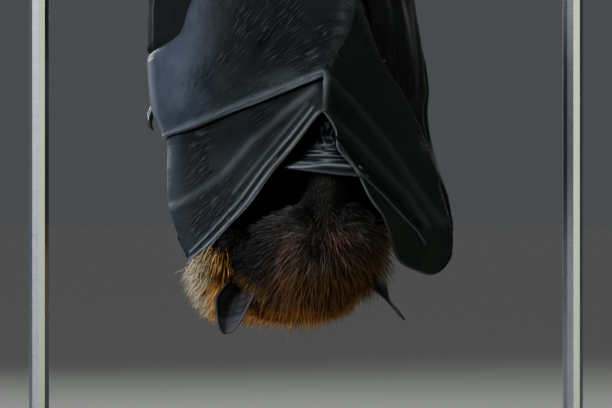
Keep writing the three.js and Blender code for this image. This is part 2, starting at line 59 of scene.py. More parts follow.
# ---------------------------------------------------------------- colours
def linear(hex_colour):
    """The linear RGBA of an sRGB hex colour."""
    values = [int(hex_colour[i:i + 2], 16) / 255 for i in (1, 3, 5)]
    return (*[v / 12.92 if v <= 0.04045 else ((v + 0.055) / 1.055) ** 2.4 for v in values], 1.0)


# ---------------------------------------------------------------- the wings' envelope
# Outline of the wrapped wings at a few heights: height, left side, right side, keel,
# then y of the front, of the widest part and of the back.
STATIONS = np.array([
    (94, -45, 60, 8, -27, -17, 38),
    (110, -53, 63.8, 8, -37, -12, 46),
    (125, -58, 61, 8, -46, -7, 50),
    (140, -59.2, 57.2, 8, -54, -2, 52),
    (154, -59.8, 52.5, 8, -60, 3, 53),
    (165, -65.8, 51, 8, -64, 6, 53),
    (178, -67.7, 52, 8.5, -65, 10, 53),
    (210, -69.2, 46, 20, -55, 20, 53),
    (240, -68, 42, 4, -44, 26, 52),
    (270, -59, 27, -12, -31, 27, 49),
    (300, -46, 9, -18, -14, 25, 43),
    (345, -37, -3, -20, 2, 22, 36),
], float)
ROOF_SHARE = 0.5                 # how far the front is a roof with its ridge on the keel
KEEL_ROUND = 0.035               # how softly that ridge is rounded


def between(t, start, start_slope, end, end_slope):
    """A smooth step from start to end with the slope given at each."""
    t2, t3 = t * t, t * t * t
    return ((2 * t3 - 3 * t2 + 1) * start + (t3 - 2 * t2 + t) * start_slope
            + (3 * t2 - 2 * t3) * end + (t3 - t2) * end_slope)


def along(table, z):
    """Smooth values of every column of a table of stations at the heights z."""
    table = np.asarray(table, float)
    heights, values = table[:, 0], table[:, 1:]
    last = len(heights) - 1
    before, after = np.maximum(np.arange(last + 1) - 1, 0), np.minimum(np.arange(last + 1) + 1, last)
    slopes = (values[after] - values[before]) / (heights[after] - heights[before])[:, None]
    z = np.asarray(z, float)
    i = np.clip(np.searchsorted(heights, z, side="right") - 1, 0, last - 1)
    h = (heights[i + 1] - heights[i])[..., None]
    t = np.clip((z - heights[i])[..., None] / h, 0, 1)
    return between(t, values[i], h * slopes[i], values[i + 1], h * slopes[i + 1])


def rise_to_keel(sine, cosine):
    """How far the front comes forward, from 0 at the widest part to 1 on the keel: part oval, part roof."""
    return cosine + ROOF_SHARE * (1 + KEEL_ROUND - np.sqrt(sine ** 2 + KEEL_ROUND ** 2) - cosine)


def wrap_point(phi, z, inset):
    """Points on the envelope: phi is 0 on the keel and +-90 degrees at the sides."""
    left, right, keel, front, wide, back = np.moveaxis(along(STATIONS, z), -1, 0)
    sine, cosine = np.sin(phi), np.cos(phi)
    reach = np.where(phi < 0, keel - left, right - keel)
    x_front = keel + (reach - inset) * sine
    y_front = wide - (wide - front - inset) * rise_to_keel(sine, cosine)
    x_back = (left + right) / 2 + ((right - left) / 2 - inset) * sine
    y_back = wide - (back - wide - inset) * cosine
    ahead = cosine >= 0
    return np.stack([np.where(ahead, x_front, x_back), np.where(ahead, y_front, y_back), z + 0 * phi], -1)


def front(x, z):
    """A mark on the front of the envelope by its x and height: (phi, z)."""
    left, right, keel = along(STATIONS, z)[:3]
    reach = keel - left if x < keel else right - keel
    return (math.asin(max(-1.0, min(1.0, (x - keel) / reach))), z)


def around(degrees, z):
    """A mark by the angle round the envelope: (phi, z)."""
    return (math.radians(degrees), z)


# ---------------------------------------------------------------- small numeric tools
def smoothstep(low, high, value):
    t = np.clip((value - low) / (high - low), 0, 1)
    return t * t * (3 - 2 * t)


def bump_at(distance, width):
    """A rounded bump: 1 at distance 0, falling off over the width."""
    return np.exp(-(distance / width) ** 2)


def spot(x, z, centre, size):
    """A rounded bump of a width and a height round a centre."""
    return bump_at(np.hypot((x - centre[0]) / size[0], (z - centre[1]) / size[1]), 1)


def unit(vectors):
    return vectors / np.maximum(np.linalg.norm(vectors, axis=-1, keepdims=True), 1e-9)


def full_turn(sides):
    """Evenly spaced angles round a full turn."""
    return np.linspace(0, 2 * math.pi, sides, endpoint=False)


LATTICE_SIDE = 256
LATTICE = np.random.RandomState(7).rand(8, LATTICE_SIDE, LATTICE_SIDE)


def noise(x, y, layer):
    """Smooth value noise from 0 to 1 over the plane; it has eight layers that differ."""
    table = LATTICE[layer]
    x, y = np.asarray(x, float), np.asarray(y, float)
    x0, y0 = np.floor(x).astype(int), np.floor(y).astype(int)
    fx, fy = x - x0, y - y0
    fx, fy = fx * fx * (3 - 2 * fx), fy * fy * (3 - 2 * fy)
    west, east, south, north = (place % LATTICE_SIDE for place in (x0, x0 + 1, y0, y0 + 1))
    a, b, c, d = table[west, south], table[east, south], table[west, north], table[east, north]
    return (a * (1 - fx) + b * fx) * (1 - fy) + (c * (1 - fx) + d * fx) * fy


def scatter(values):
    """Numbers from 0 to 1 that look random, and are the same wherever the values are."""
    return np.modf(np.abs(np.sin(values)) * 4375.85)[0]


def line_distance(x, z, points):
    """Distance in the front plane to a line of points, and how far along it the nearest place is."""
    best = np.full(np.shape(x), 1e9)
    place = np.zeros(np.shape(x))
    points = np.asarray(points, float)
    lengths = np.hypot(*(points[1:] - points[:-1]).T)
    run, whole = 0.0, lengths.sum()
    for (ax, az), (bx, bz), length in zip(points[:-1], points[1:], lengths):
        t = np.clip(((x - ax) * (bx - ax) + (z - az) * (bz - az)) / length ** 2, 0, 1)
        gap = np.hypot(x - ax - t * (bx - ax), z - az - t * (bz - az))
        nearer = gap < best
        best = np.where(nearer, gap, best)
        place = np.where(nearer, (run + t * length) / whole, place)
        run += length
    return best, place


# ---------------------------------------------------------------- mesh helpers
def linked(name, data, place=(0, 0, 0)):
    """A new object in the scene."""
    obj = bpy.data.objects.new(name, data)
    obj.location = place
    bpy.context.scene.collection.objects.link(obj)
    return obj


def new_object(name, vertices, faces, material, slot):
    """A mesh object in metres from points in millimetres, riding on the body."""
    mesh = bpy.data.meshes.new(name)
    vertices = np.asarray(vertices, float) * MM
    faces = np.asarray(faces, int)
    mesh.vertices.add(len(vertices))
    mesh.vertices.foreach_set("co", vertices.ravel())
    corners = faces.shape[1]
    mesh.loops.add(faces.size)
    mesh.loops.foreach_set("vertex_index", faces.ravel())
    mesh.polygons.add(len(faces))
    mesh.polygons.foreach_set("loop_start", np.arange(len(faces)) * corners)
    mesh.polygons.foreach_set("loop_total", np.full(len(faces), corners))
    mesh.update(calc_edges=True)
    mesh.polygons.foreach_set("use_smooth", np.full(len(faces), True))
    mesh.materials.append(material)
    obj = linked(name, mesh)
    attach(obj, BODY)
    return obj


def add_field(obj, name, values):
    """A value or a colour for each vertex, which the materials read by its name."""
    values = np.asarray(values, float)
    if values.ndim == 1:
        field = obj.data.attributes.new(name, "FLOAT", "POINT")
        field.data.foreach_set("value", values)
    elif values.shape[1] == 3:
        field = obj.data.attributes.new(name, "FLOAT_VECTOR", "POINT")
        field.data.foreach_set("vector", values.ravel())
    else:
        field = obj.data.color_attributes.new(name, "FLOAT_COLOR", "POINT")
        field.data.foreach_set("color", values.ravel())


def shell_faces(columns, rows):
    """Quads of a closed shell over a grid of columns by rows points, its outer side first."""
    index = np.arange(2 * columns * rows).reshape(2, columns, rows)
    outer, inner = index

    def strip(a, b, c, d):
        return np.stack([a, b, c, d], -1).reshape(-1, 4)

    return np.concatenate([
        strip(outer[:-1, :-1], outer[1:, :-1], outer[1:, 1:], outer[:-1, 1:]),
        strip(inner[:-1, :-1], inner[:-1, 1:], inner[1:, 1:], inner[1:, :-1]),
        strip(outer[:-1, 0], inner[:-1, 0], inner[1:, 0], outer[1:, 0]),
        strip(outer[:-1, -1], outer[1:, -1], inner[1:, -1], inner[:-1, -1]),
        strip(outer[0, :-1], outer[0, 1:], inner[0, 1:], inner[0, :-1]),
        strip(outer[-1, :-1], inner[-1, :-1], inner[-1, 1:], outer[-1, 1:]),
    ])


def closed_shell(outer, inner):
    """Points and faces of a thin shell between two grids of points."""
    return np.concatenate([outer.reshape(-1, 3), inner.reshape(-1, 3)]), shell_faces(*outer.shape[:2])


def grid_normals(points, outward):
    """Unit normals of a grid of points, turned to the side that outward points to."""
    du, dv = np.gradient(points, axis=0), np.gradient(points, axis=1)
    normals = unit(np.cross(du, dv))
    if (normals * outward).sum() < 0:
        normals = -normals
    return normals


def tube(path, radii, sides):
    """Rings of points round a path."""
    path, radii = np.asarray(path, float), np.asarray(radii, float)
    tangents = unit(np.gradient(path, axis=0))
    across = np.array([0.31, 0.87, 0.38])
    rings = []
    for centre, tangent, radius in zip(path, tangents, radii):
        across = unit(across - tangent * (across @ tangent))
        other = np.cross(tangent, across)
        angles = full_turn(sides)[:, None]
        rings.append(centre + radius * (np.cos(angles) * across + np.sin(angles) * other))
    return np.array(rings)


def ring_faces(rings, sides, start=0):
    """Triangles of a closed body of rings with a point at each end (points: all rings, then two)."""
    index = start + np.arange(rings * sides).reshape(rings, sides)
    turned = np.roll(index, -1, axis=1)
    a, b, c, d = index[:-1], turned[:-1], turned[1:], index[1:]
    low, high = start + rings * sides, start + rings * sides + 1
    return np.concatenate([
        np.stack([a, b, c], -1).reshape(-1, 3), np.stack([a, c, d], -1).reshape(-1, 3),
        np.stack([np.full(sides, low), turned[0], index[0]], -1),
        np.stack([np.full(sides, high), index[-1], turned[-1]], -1),
    ])


def smooth_path(points, steps):
    """A smooth line of steps + 1 points through the given ones."""
    points = np.asarray(points, float)
    s = np.concatenate([[0], np.cumsum(np.linalg.norm(np.diff(points, axis=0), axis=1))])
    table = np.concatenate([s[:, None], points], axis=1)
    return along(table, np.linspace(0, s[-1], steps + 1))


def end_points(rings):
    return [rings[0].mean(0), rings[-1].mean(0)]


class Bundle:
    """Round bars gathered into one mesh."""

    def __init__(self):
        self.points, self.faces, self.count = [], [], 0

    def add(self, path, radii, sides):
        rings = tube(path, radii, sides)
        self.faces.append(ring_faces(len(rings), sides, self.count))
        ends = [rings[n].mean(0) + unit(rings[n].mean(0) - rings[m].mean(0)) * 0.6 * radii[n]
                for n, m in ((0, 1), (-1, -2))]
        self.points.append(np.concatenate([rings.reshape(-1, 3), ends]))
        self.count += len(self.points[-1])

    def build(self, name, material, slot):
        return new_object(name, np.concatenate(self.points), np.concatenate(self.faces), material, slot)


# ---------------------------------------------------------------- materials
def add_node(tree, kind, inputs=None, output=0, **options):
    """Adds a node and returns an output; inputs gives each socket a value or the socket it is fed from."""
    item = tree.nodes.new("ShaderNode" + kind)
    for key, value in options.items():
        setattr(item, key, value)
    for key, value in (inputs or {}).items():
        if isinstance(value, bpy.types.NodeSocket):
            tree.links.new(value, item.inputs[key])
        else:
            item.inputs[key].default_value = value
    return item.outputs[output]


def new_material(name, **constants):
    """A material with one Principled shader; constants are set on its own sockets."""
    material = bpy.data.materials.new(name)
    material.use_nodes = True
    tree = material.node_tree
    shader = tree.nodes["Principled BSDF"]
    for key, value in constants.items():
        shader.inputs[key.replace("_", " ").title().replace("Ior", "IOR")].default_value = value
    return material, tree, shader


def field(tree, name, output="Fac"):
    """A value, vector or colour that the mesh carries."""
    return add_node(tree, "Attribute", output=output, attribute_name=name)


def stretched(tree, scale):
    """Object coordinates times a scale for each axis."""
    return add_node(tree, "Mapping", {"Vector": add_node(tree, "TexCoord", output="Object"), "Scale": scale})


def object_scale(tree, size_mm):
    """Object coordinates counted in steps of a real size."""
    return stretched(tree, (1 / (size_mm * MM),) * 3)


def grain_of(tree, vector, detail=2.0, roughness=0.5, distortion=0.0):
    return add_node(tree, "TexNoise", {
        "Vector": vector, "Scale": 1.0, "Detail": detail, "Roughness": roughness, "Distortion": distortion}, "Fac")


def shade_of(colour):
    """A shader colour from an sRGB hex or a setting."""
    return linear(colour) if isinstance(colour, str) else tuple(colour) + (1.0,)


def mix(tree, share, first, second):
    """A colour between two, each a hex, a setting or a socket."""
    sockets = [value if isinstance(value, bpy.types.NodeSocket) else shade_of(value) for value in (first, second)]
    return add_node(tree, "Mix", {0: share, 6: sockets[0], 7: sockets[1]}, 2, data_type="RGBA")


def spread(tree, value, low, high, to_low=0.0, to_high=1.0):
    return add_node(tree, "MapRange", {
        "Value": value, "From Min": low, "From Max": high, "To Min": to_low, "To Max": to_high})


def calculate(tree, operation, *values):
    return add_node(tree, "Math", dict(enumerate(values)), operation=operation)


def finish(tree, shader, colour=None, bump=None):
    """Feeds the shader's colour, and its normal from a strength, a depth in mm and a height."""
    if colour:
        tree.links.new(colour, shader.inputs["Base Color"])
    if bump:
        strength, depth, height, *below = bump
        inputs = {"Strength": strength, "Distance": depth * MM, "Height": height}
        if below:
            inputs["Normal"] = below[0]
        normal = add_node(tree, "Bump", inputs)
        tree.links.new(normal, shader.inputs["Normal"])


def wing_membrane(chosen):
    """Bat wing skin, two living layers stretched thin: satin, slate-dark, with fine fans of wrinkles; its blue sky
    sheen, green reflection, shade and crest highlights are painted.
    """
    material, tree, shader = new_material("wing membrane skin", ior=1.42, specular_ior_level=0.2)
    streaks = [grain_of(tree, field(tree, name, "Vector"), 2.0, 0.45) for name in ("fan_near", "fan_far")]
    streak = add_node(tree, "Mix", {0: field(tree, "fan_share"), 2: streaks[0], 3: streaks[1]})
    pores = add_node(tree, "TexVoronoi", {
        "Vector": object_scale(tree, 0.9), "Scale": 1.0, "Randomness": 1.0}, "Distance", feature="F1")
    mottle = grain_of(tree, object_scale(tree, 14), 4.0, 0.6)
    # painted reflections: green where the surroundings would reflect, turning to the membrane colour as a blue sky
    # sheen on the lit side
    light = mix(tree, mottle, "#12161a", mix(tree, field(tree, "painted_blue_sheen"), "#1b221d", chosen.membrane))
    # painted shade: the skin darkens towards near-black where the shade field is high
    tone = mix(tree, field(tree, "painted_shade"), light, "#060707")
    # painted highlights: wrinkle crests and the pale field are lightened towards the hem colour
    painted_crest_highlight = calculate(tree, "MULTIPLY", spread(tree, streak, 0.52, 0.70, 0.0, 0.24), field(tree, "crinkle"))
    worn_and_highlit = calculate(tree, "MAXIMUM", painted_crest_highlight, field(tree, "pale"))
    gloss = spread(tree, streak, 0.3, 0.7, 0.40, 0.56)
    dull = calculate(tree, "MULTIPLY_ADD", field(tree, "painted_shade"), 0.35, gloss)
    tree.links.new(dull, shader.inputs["Roughness"])
    fine = add_node(tree, "Bump", {"Strength": 0.3, "Distance": 0.1 * MM, "Height": pores})
    ridged = calculate(tree, "ABSOLUTE", calculate(tree, "SUBTRACT", streak, 0.5))
    crinkled = calculate(tree, "MULTIPLY", ridged, field(tree, "crinkle"))
    finish(tree, shader, mix(tree, worn_and_highlit, tone, chosen.hem), (1.0, 3.2, crinkled, fine))
    return material


def coat_fur(name, roughness):
    """Mammal hair, keratin: soft, with a low sheen along each lock; its colours are in the mesh."""
    material, tree, shader = new_material(name, roughness=roughness, ior=1.55, specular_ior_level=0.16)
    finish(tree, shader, field(tree, "coat_colour", "Color"))
    return material


def furred_skin():
    """Skin under the coat: matt, in the coat's own colours, with fine pores between the hairs."""
    material, tree, shader = new_material("furred skin", roughness=0.7, ior=1.4)
    hairs = grain_of(tree, object_scale(tree, 0.5))
    finish(tree, shader, mix(tree, hairs, "#0c0908", field(tree, "coat_colour", "Color")), (0.6, 0.3, hairs))
    return material


def bare_skin(chosen):
    """Bare skin of ears, nose, lids and feet: dark, matt and finely wrinkled, with painted lilac highlights at thin
    rims.
    """
    material, tree, shader = new_material("bare dark skin", roughness=0.55, ior=1.4, specular_ior_level=0.35)
    grain = grain_of(tree, object_scale(tree, 1.1), 5.0, 0.65)
    tone = mix(tree, grain, "#0c0b0d", chosen.bare)
    # painted lilac highlights where the pale field is high, on ear rims and tips
    finish(tree, shader, mix(tree, field(tree, "pale"), tone, "#4c4750"), (0.5, 0.25, grain))
    return material


def weathered_bark(chosen):
    """Dead-wood bark: rough, furrowed along the branch, grey-brown with paler weathered crests."""
    material, tree, shader = new_material("weathered bark", roughness=0.85, ior=1.45, specular_ior_level=0.3)
    furrows = grain_of(tree, stretched(tree, (90, 520, 520)), 6.0, 0.65, 0.4)
    blotch = grain_of(tree, object_scale(tree, 22), 3.0)
    tone = mix(tree, furrows, "#241a12", chosen.bark)
    lichen = spread(tree, blotch, 0.52, 0.72, 0.0, 0.55)
    finish(tree, shader, mix(tree, lichen, tone, "#7d7763"), (0.9, 0.8, furrows))
    return material


def sawn_wood():
    """Sawn end grain: pale wood with growth rings about 2 mm apart round the pith."""
    material, tree, shader = new_material("sawn end grain", roughness=0.75, ior=1.5)
    centred = add_node(tree, "Mapping", {
        "Vector": add_node(tree, "TexCoord", output="Object"),
        "Location": (0, -PERCH[0] * MM, -PERCH[1] * MM), "Scale": (0, 1, 1)})
    rings = add_node(tree, "TexWave", {
        "Vector": centred, "Scale": 160.0, "Distortion": 1.5, "Detail": 2.0, "Detail Scale": 1.5},
        "Fac", wave_type="RINGS", rings_direction="X")
    finish(tree, shader, mix(tree, rings, "#8a6a45", "#c9ab7c"), (0.4, 0.2, rings))
    return material


def oiled_wood(chosen):
    """Oiled walnut board: long grain about 2 mm apart, satin."""
    material, tree, shader = new_material("oiled walnut", roughness=0.68, ior=1.5, specular_ior_level=0.18)
    grain = grain_of(tree, stretched(tree, (24, 480, 480)), 6.0, 0.6, 0.8)
    pores = grain_of(tree, stretched(tree, (220, 2600, 2600)))
    finish(tree, shader, mix(tree, spread(tree, grain, 0.3, 0.7), "#2b1b11", chosen.wood), (0.25, 0.1, pores))
    return material


def brushed_steel():
    """Stainless steel rod, brushed round its length: streaks under 0.1 mm, drawn coarser so that they show."""
    material, tree, shader = new_material("brushed stainless steel", metallic=1.0, roughness=0.32)
    lines = grain_of(tree, stretched(tree, (300, 300, 6000)), 3.0)
    tree.links.new(spread(tree, lines, 0.0, 1.0, 0.24, 0.42), shader.inputs["Roughness"])
    finish(tree, shader, mix(tree, lines, "#8d8f92", "#b7b9bc"))
    return material


def speckled(name, size_mm, dark, pale, detail=2.0, **constants):
    """A material whose colour varies between two at one scale."""
    material, tree, shader = new_material(name, **constants)
    finish(tree, shader, mix(tree, grain_of(tree, object_scale(tree, size_mm), detail), dark, pale))
    return material


def wet_eye():
    """Wet dark eye: near-black brown under a clear, glossy cornea."""
    return speckled("wet dark eye", 1.5, "#050404", "#1c0f08",
                    roughness=0.06, ior=1.376, coat_weight=0.6, coat_roughness=0.03)


def claw_horn():
    """Claw horn, keratin: dark, fairly glossy, streaked along its length."""
    return speckled("dark claw horn", 1.2, "#0d0b0a", "#3a322c", 4.0, roughness=0.3, ior=1.55)


def studio_paper(colour):
    """Matt studio paper: even, with a faint fibre."""
    return speckled("studio paper", 3, [0.94 * v for v in colour], colour, roughness=0.95)


# ---------------------------------------------------------------- wings
# The marks run from the far finger joint at the bat's left side, over the keel, round to the wrist.
# The last value of each says whether the edge has a corner there.
RIGHT_LOW = [
    (around(-97, 154), 0), (around(-90, 153.8), 1), (front(-48, 158.4), 0), (front(-25, 166.9), 0),
    (front(-8, 173.2), 0), (front(8, 179.2), 1), (front(7.2, 164.2), 1), (front(12.3, 156.5), 0),
    (front(13.4, 149), 0), (front(20.6, 140.4), 0), (front(27, 128.4), 0), (front(32.2, 121), 0),
    (front(35, 114), 0), (front(37, 107), 0), (front(40.2, 101), 0), (front(47, 97.4), 0),
    (around(61, 95.4), 0), (around(74, 98), 0), (around(86, 104), 0),
]
RIGHT_HIGH = [
    (around(-97, 186), 0), (around(-88, 189.5), 1), (front(-57.5, 198), 0), (front(-51.3, 211.7), 0),
    (front(-43, 236), 0), (front(-20, 272), 1), (front(-4, 262), 0), (front(11, 236), 0),
    (front(23.5, 208), 1), (front(32.5, 187), 0), (front(39.5, 177), 0), (front(46, 166), 0),
    (front(51, 155), 0), (around(80, 143), 0), (around(88, 131), 0), (around(92, 121), 0),
    (around(94, 113), 0), (around(93.5, 109), 0), (around(91, 107), 0),
]
LEFT_LOW = [
    (around(-94, 106), 0), (around(-88, 102.6), 0), (front(-48.6, 101.3), 0), (front(-44.6, 104.9), 0),
    (front(-39.3, 109.5), 0), (front(-25.7, 123.7), 0), (front(-15.0, 138.2), 0), (front(-4.8, 150.3), 0),
    (front(5, 163), 1), (around(14, 178), 0), (around(34, 186), 0), (around(56, 188), 0),
]
LEFT_HIGH = [
    (around(-94, 118), 0), (around(-91, 128), 0), (around(-91, 140), 0), (around(-91, 160), 0),
    (around(-90, 185), 0), (around(-88, 212), 0), (around(-80, 236), 0), (around(-62, 258), 0),
    (around(-36, 272), 0), (around(-8, 274), 0), (around(22, 262), 0), (around(50, 240), 0),
]
# The skin behind each arm: angle round the body and height of its two edges.
ARM_LOW = [(93, 112), (106, 117), (118, 113), (135, 122), (150, 119), (166, 131)]
ARM_HIGH = [(93, 242), (106, 264), (118, 282), (135, 305), (150, 323), (165, 339)]
ARM_CORNERS = (118, 150)         # angles of the finger tips in its lower edge
ARM_FRONT_LOW = [(36, 172), (50, 152), (63, 132), (78, 118)]
ARM_FRONT_HIGH = [(12, 212), (28, 223), (48, 232), (70, 239)]

FAR_JOINT = (-59.6, 154.1)       # front-plane places (x, z) that the folds run from
KEEL_FOOT = (7.3, 165.0)
KNOT = (22.5, 208.5)
FAN_LEFT = (24, 196)

CREASES = [                      # pinched valleys of the right wing: line, width and depth
    ([(-8, 202.5), (-15.5, 195.5), (-22.6, 187.5)], 2.0, 2.0),
    ([(16, 190), (9, 187.5), (3, 183)], 1.1, 1.0),
    ([(17, 197.5), (9, 196.5), (1, 192.5)], 1.2, 0.9),
    ([(18, 203), (8, 204), (-2, 202)], 1.3, 0.7),
]
ARC = [(-66, 189.5), (-57.5, 198), (-51.3, 211.7), (-43, 236), (-20, 272)]     # trailing edge of the right wing
RIDGE = [(-60, 154.5), (-25, 167.2), (8, 179.2)]                              # lower edge of its upper panel

# Finger bones under the skin: line, width and height of the ridge, and how pale it is, as worn skin and painted
# highlight.
RIGHT_BONES = [
    ([(-59, 156.3), (-25, 169), (7.5, 180.6)], 1.9, 1.2, 0.25),
    ([(8.2, 180), (7.3, 166)], 1.5, 1.3, 0.5),
    ([(9, 179), (20.2, 167.6), (34.4, 150.4), (47.5, 131.5), (58, 117.6)], 2.3, 1.5, 0.1),
    ([(8.2, 164.5), (20.2, 153.3), (32.3, 140.3), (42.8, 130), (51.5, 117)], 2.2, 1.3, 0.1),
    ([(13.5, 151.5), (20.5, 141.1), (32.3, 130), (41.4, 120.2), (46.7, 115), (50.5, 109)], 0.8, 1.3, 0.3),
    ([(15.5, 151), (21.8, 143.4), (34.4, 130.8), (43.2, 121.8), (48.2, 116)], 1.2, -1.4, 0.0),
    ([(22.5, 208), (29.8, 191.9), (35.3, 182.7), (42, 174), (47.5, 164.6), (52.5, 153.3), (58, 137)],
     1.6, 1.4, 0.12),
    ([(-60.5, 154.5), (-65.2, 165), (-66.9, 178), (-67, 188)], 1.2, 0.8, 0.3),
    ([(-14, 220), (-26, 240), (-24, 262)], 1.5, 0.8, 0.1),
    ([(22.5, 209), (9, 236), (-14, 264)], 1.5, 1.0, 0.1),
]
LEFT_BONES = [
    ([(5, 164), (-4.8, 151.6), (-15.4, 139.5), (-26.2, 125.2), (-39.6, 111.1), (-47.8, 103.4)], 0.7, 1.0, 0.8),
    ([(3, 166), (-6.3, 154.4), (-17, 142.2), (-28, 127.7), (-41.4, 113.4), (-49.4, 105.4)], 0.7, 1.0, 0.6),
    ([(1, 168), (-18, 145.8), (-31, 130.5)], 0.9, 0.5, 0.2),
    ([(-56.5, 124.5), (-36.1, 137.3), (-21.4, 153.3), (-8, 164.6), (4, 174)], 2.2, 1.1, 0.18),
    ([(-65.3, 190), (-65.8, 212), (-62, 240)], 1.0, 0.9, 0.0),
]


def edge_line(marks, places):
    """Points of an edge at fractional places along its marks: smooth, but for the marks that are corners."""
    values = np.array([mark for mark, _ in marks], float)
    corner = np.array([sharp for _, sharp in marks], bool)
    corner[[0, -1]] = True
    steps = np.diff(values, axis=0)
    middle = np.zeros_like(values)
    middle[1:-1] = (steps[1:] + steps[:-1]) / 2
    i = np.clip(places.astype(int), 0, len(marks) - 2)
    t = (places - i)[:, None]
    start = np.where(corner[i][:, None], steps[i], middle[i])
    end = np.where(corner[i + 1][:, None], steps[i], middle[i + 1])
    return between(t, values[i], start, values[i + 1], end)


def sheet_grid(low, high, columns, rows):
    """The angle and height of every point of a sheet ruled between its two edges."""
    dense = np.linspace(0, len(low) - 1, 40 * (len(low) - 1) + 1)
    spans = [np.linalg.norm(np.diff(wrap_point(*edge_line(edge, dense).T, 0), axis=0), axis=1)
             for edge in (low, high)]
    run = np.concatenate([[0], np.cumsum(np.maximum(*spans) + 0.02)])
    places = np.interp(np.linspace(0, run[-1], columns), run, dense)
    share = np.linspace(0, 1, rows)[None, :, None] ** 1.15
    grid = edge_line(low, places)[:, None] * (1 - share) + edge_line(high, places)[:, None] * share
    return grid[..., 0], grid[..., 1]


def polar(x, z, centre):
    """Angle and distance from a centre in the front plane."""
    return np.arctan2(z - centre[1], x - centre[0]), np.hypot(x - centre[0], z - centre[1])


def pleats(x, z, centre, per_radian, layer, stretch, rise, start, end=None):
    """Ridged folds that spread from a centre; they rise over the start distances and fade over the end ones."""
    angle, away = polar(x, z, centre)
    wander = 1.2 * (noise(x / 17, z / 17, layer) - 0.5)
    folds = 1 - 4 * np.abs(noise(angle * per_radian + wander, away * stretch + 9, layer) - 0.5)
    height = rise * folds * smoothstep(*start, away)
    return height * smoothstep(*end, away) if end else height


def fan_field(x, z, centre, spacing):
    """Coordinates of a fan of streaks for the material: across the folds and along them."""
    angle, away = polar(x, z, centre)
    return np.stack([angle * 120 / spacing, away / (7.5 * spacing), 0 * away], -1)


def bones_relief(x, z, bones):
    height, pale = np.zeros(x.shape), np.zeros(x.shape)
    for line, width, rise, worn_and_highlit in bones:
        gap, _ = line_distance(x, z, line)
        height += rise * bump_at(gap, width)
        # pale: worn skin over the bone and a painted highlight along its ridge
        pale = np.maximum(pale, worn_and_highlit * bump_at(gap, 0.75 * width))
    return height, pale


def crease(x, z, line, width, depth):
    """A pinched valley with a raised lip on each side."""
    gap, place = line_distance(x, z, line)
    ends = np.sin(math.pi * np.clip(place, 0.02, 0.98)) ** 0.5
    return -depth * ends * (bump_at(gap, width) - 0.55 * bump_at(gap - 2.1 * width, width))


def fan_band(x, z):
    """Where the creases that spread from the far joint gather, from 0 to 1."""
    angle, _ = polar(x, z, FAR_JOINT)
    return np.clip(bump_at((angle - 0.92) / 0.27, 1) + 0.3 * bump_at((angle - 0.45) / 0.2, 1), 0, 1)


def patches(x, z, size, layer, low=0.35, high=0.65):
    """Soft patches about a size apart, from 0 to 1."""
    return smoothstep(low, high, noise(x / size, z / size, layer))


def right_flare(x):
    """How far the right wing's lower edge stands out from what it covers."""
    return 1.7 * smoothstep(9, 5, x) * smoothstep(-66, -52, x)


def beside_keel(x, z):
    """1 on the part of the right wing that lies to the left of the keel, 0 beyond it."""
    return smoothstep(10, 4, x - 0.25 * (z - 179) * (z > 179))


def right_relief(x, z, degrees):
    height, pale = bones_relief(x, z, RIGHT_BONES)
    left_side, patchy = beside_keel(x, z), patches(x, z, 9, 6)
    fan = pleats(x, z, FAR_JOINT, 15, 1, 0.08, 0.30, (6, 22), (95, 60))
    height += fan * fan_band(x, z) * (0.35 + 0.65 * patchy)
    height += pleats(x, z, KNOT, 5.5, 2, 0.07, 0.45, (2, 8), (24, 12)) * (0.3 + 0.7 * patchy)
    height += pleats(x, z, (12.5, 172), 5.5, 3, 0.10, 0.55, (9, 14), (31, 20)) * left_side * patchy
    height += pleats(x, z, KEEL_FOOT, 9, 4, 0.02, 0.10, (6, 25)) * (1 - left_side)
    for line, width, depth in CREASES:
        height += crease(x, z, line, width, depth)
    return height + 1.0 * (noise(x / 22, z / 22, 5) - 0.5), pale


def left_relief(x, z, degrees):
    height, pale = bones_relief(x, z, LEFT_BONES)
    patchy = smoothstep(0.35, 0.65, noise(x / 8 + 5, z / 8, 6))
    height += pleats(x, z, FAN_LEFT, 13, 7, 0.06, 0.34, (18, 30), (105, 60)) * (0.3 + 0.7 * patchy)
    return height + 0.9 * (noise(x / 18, z / 18, 0) - 0.5), pale


def arm_relief(x, z, degrees):
    """Forearm and fifth finger under the skin, and its long slack folds."""
    degrees = np.abs(degrees)
    behind = smoothstep(84, 96, degrees)
    forearm, _ = line_distance(0.8 * degrees, z, [(73, 104), (76.8, 150), (80, 195), (84, 240)])
    finger, _ = line_distance(0.8 * degrees, z, [(74, 112), (94.4, 113), (108, 128), (112, 190), (118, 260)])
    height = behind * (1.5 * bump_at(forearm, 3.4) + 1.2 * bump_at(finger, 1.6))
    height += 2.0 * (noise(degrees / 10, z / 75, 2) - 0.5) + 0.8 * (noise(degrees / 9, z / 20, 4) - 0.5)
    height += 0.5 * behind * (1 - 4 * np.abs(noise(degrees / 4.2 + z / 60, z / 48, 5) - 0.5))
    return height, 0.25 * behind * bump_at(finger, 1.0)


def over_ridge(x, z):
    """Height over the lower edge of the right wing's upper panel."""
    return z - np.interp(x, *np.array(RIDGE).T)


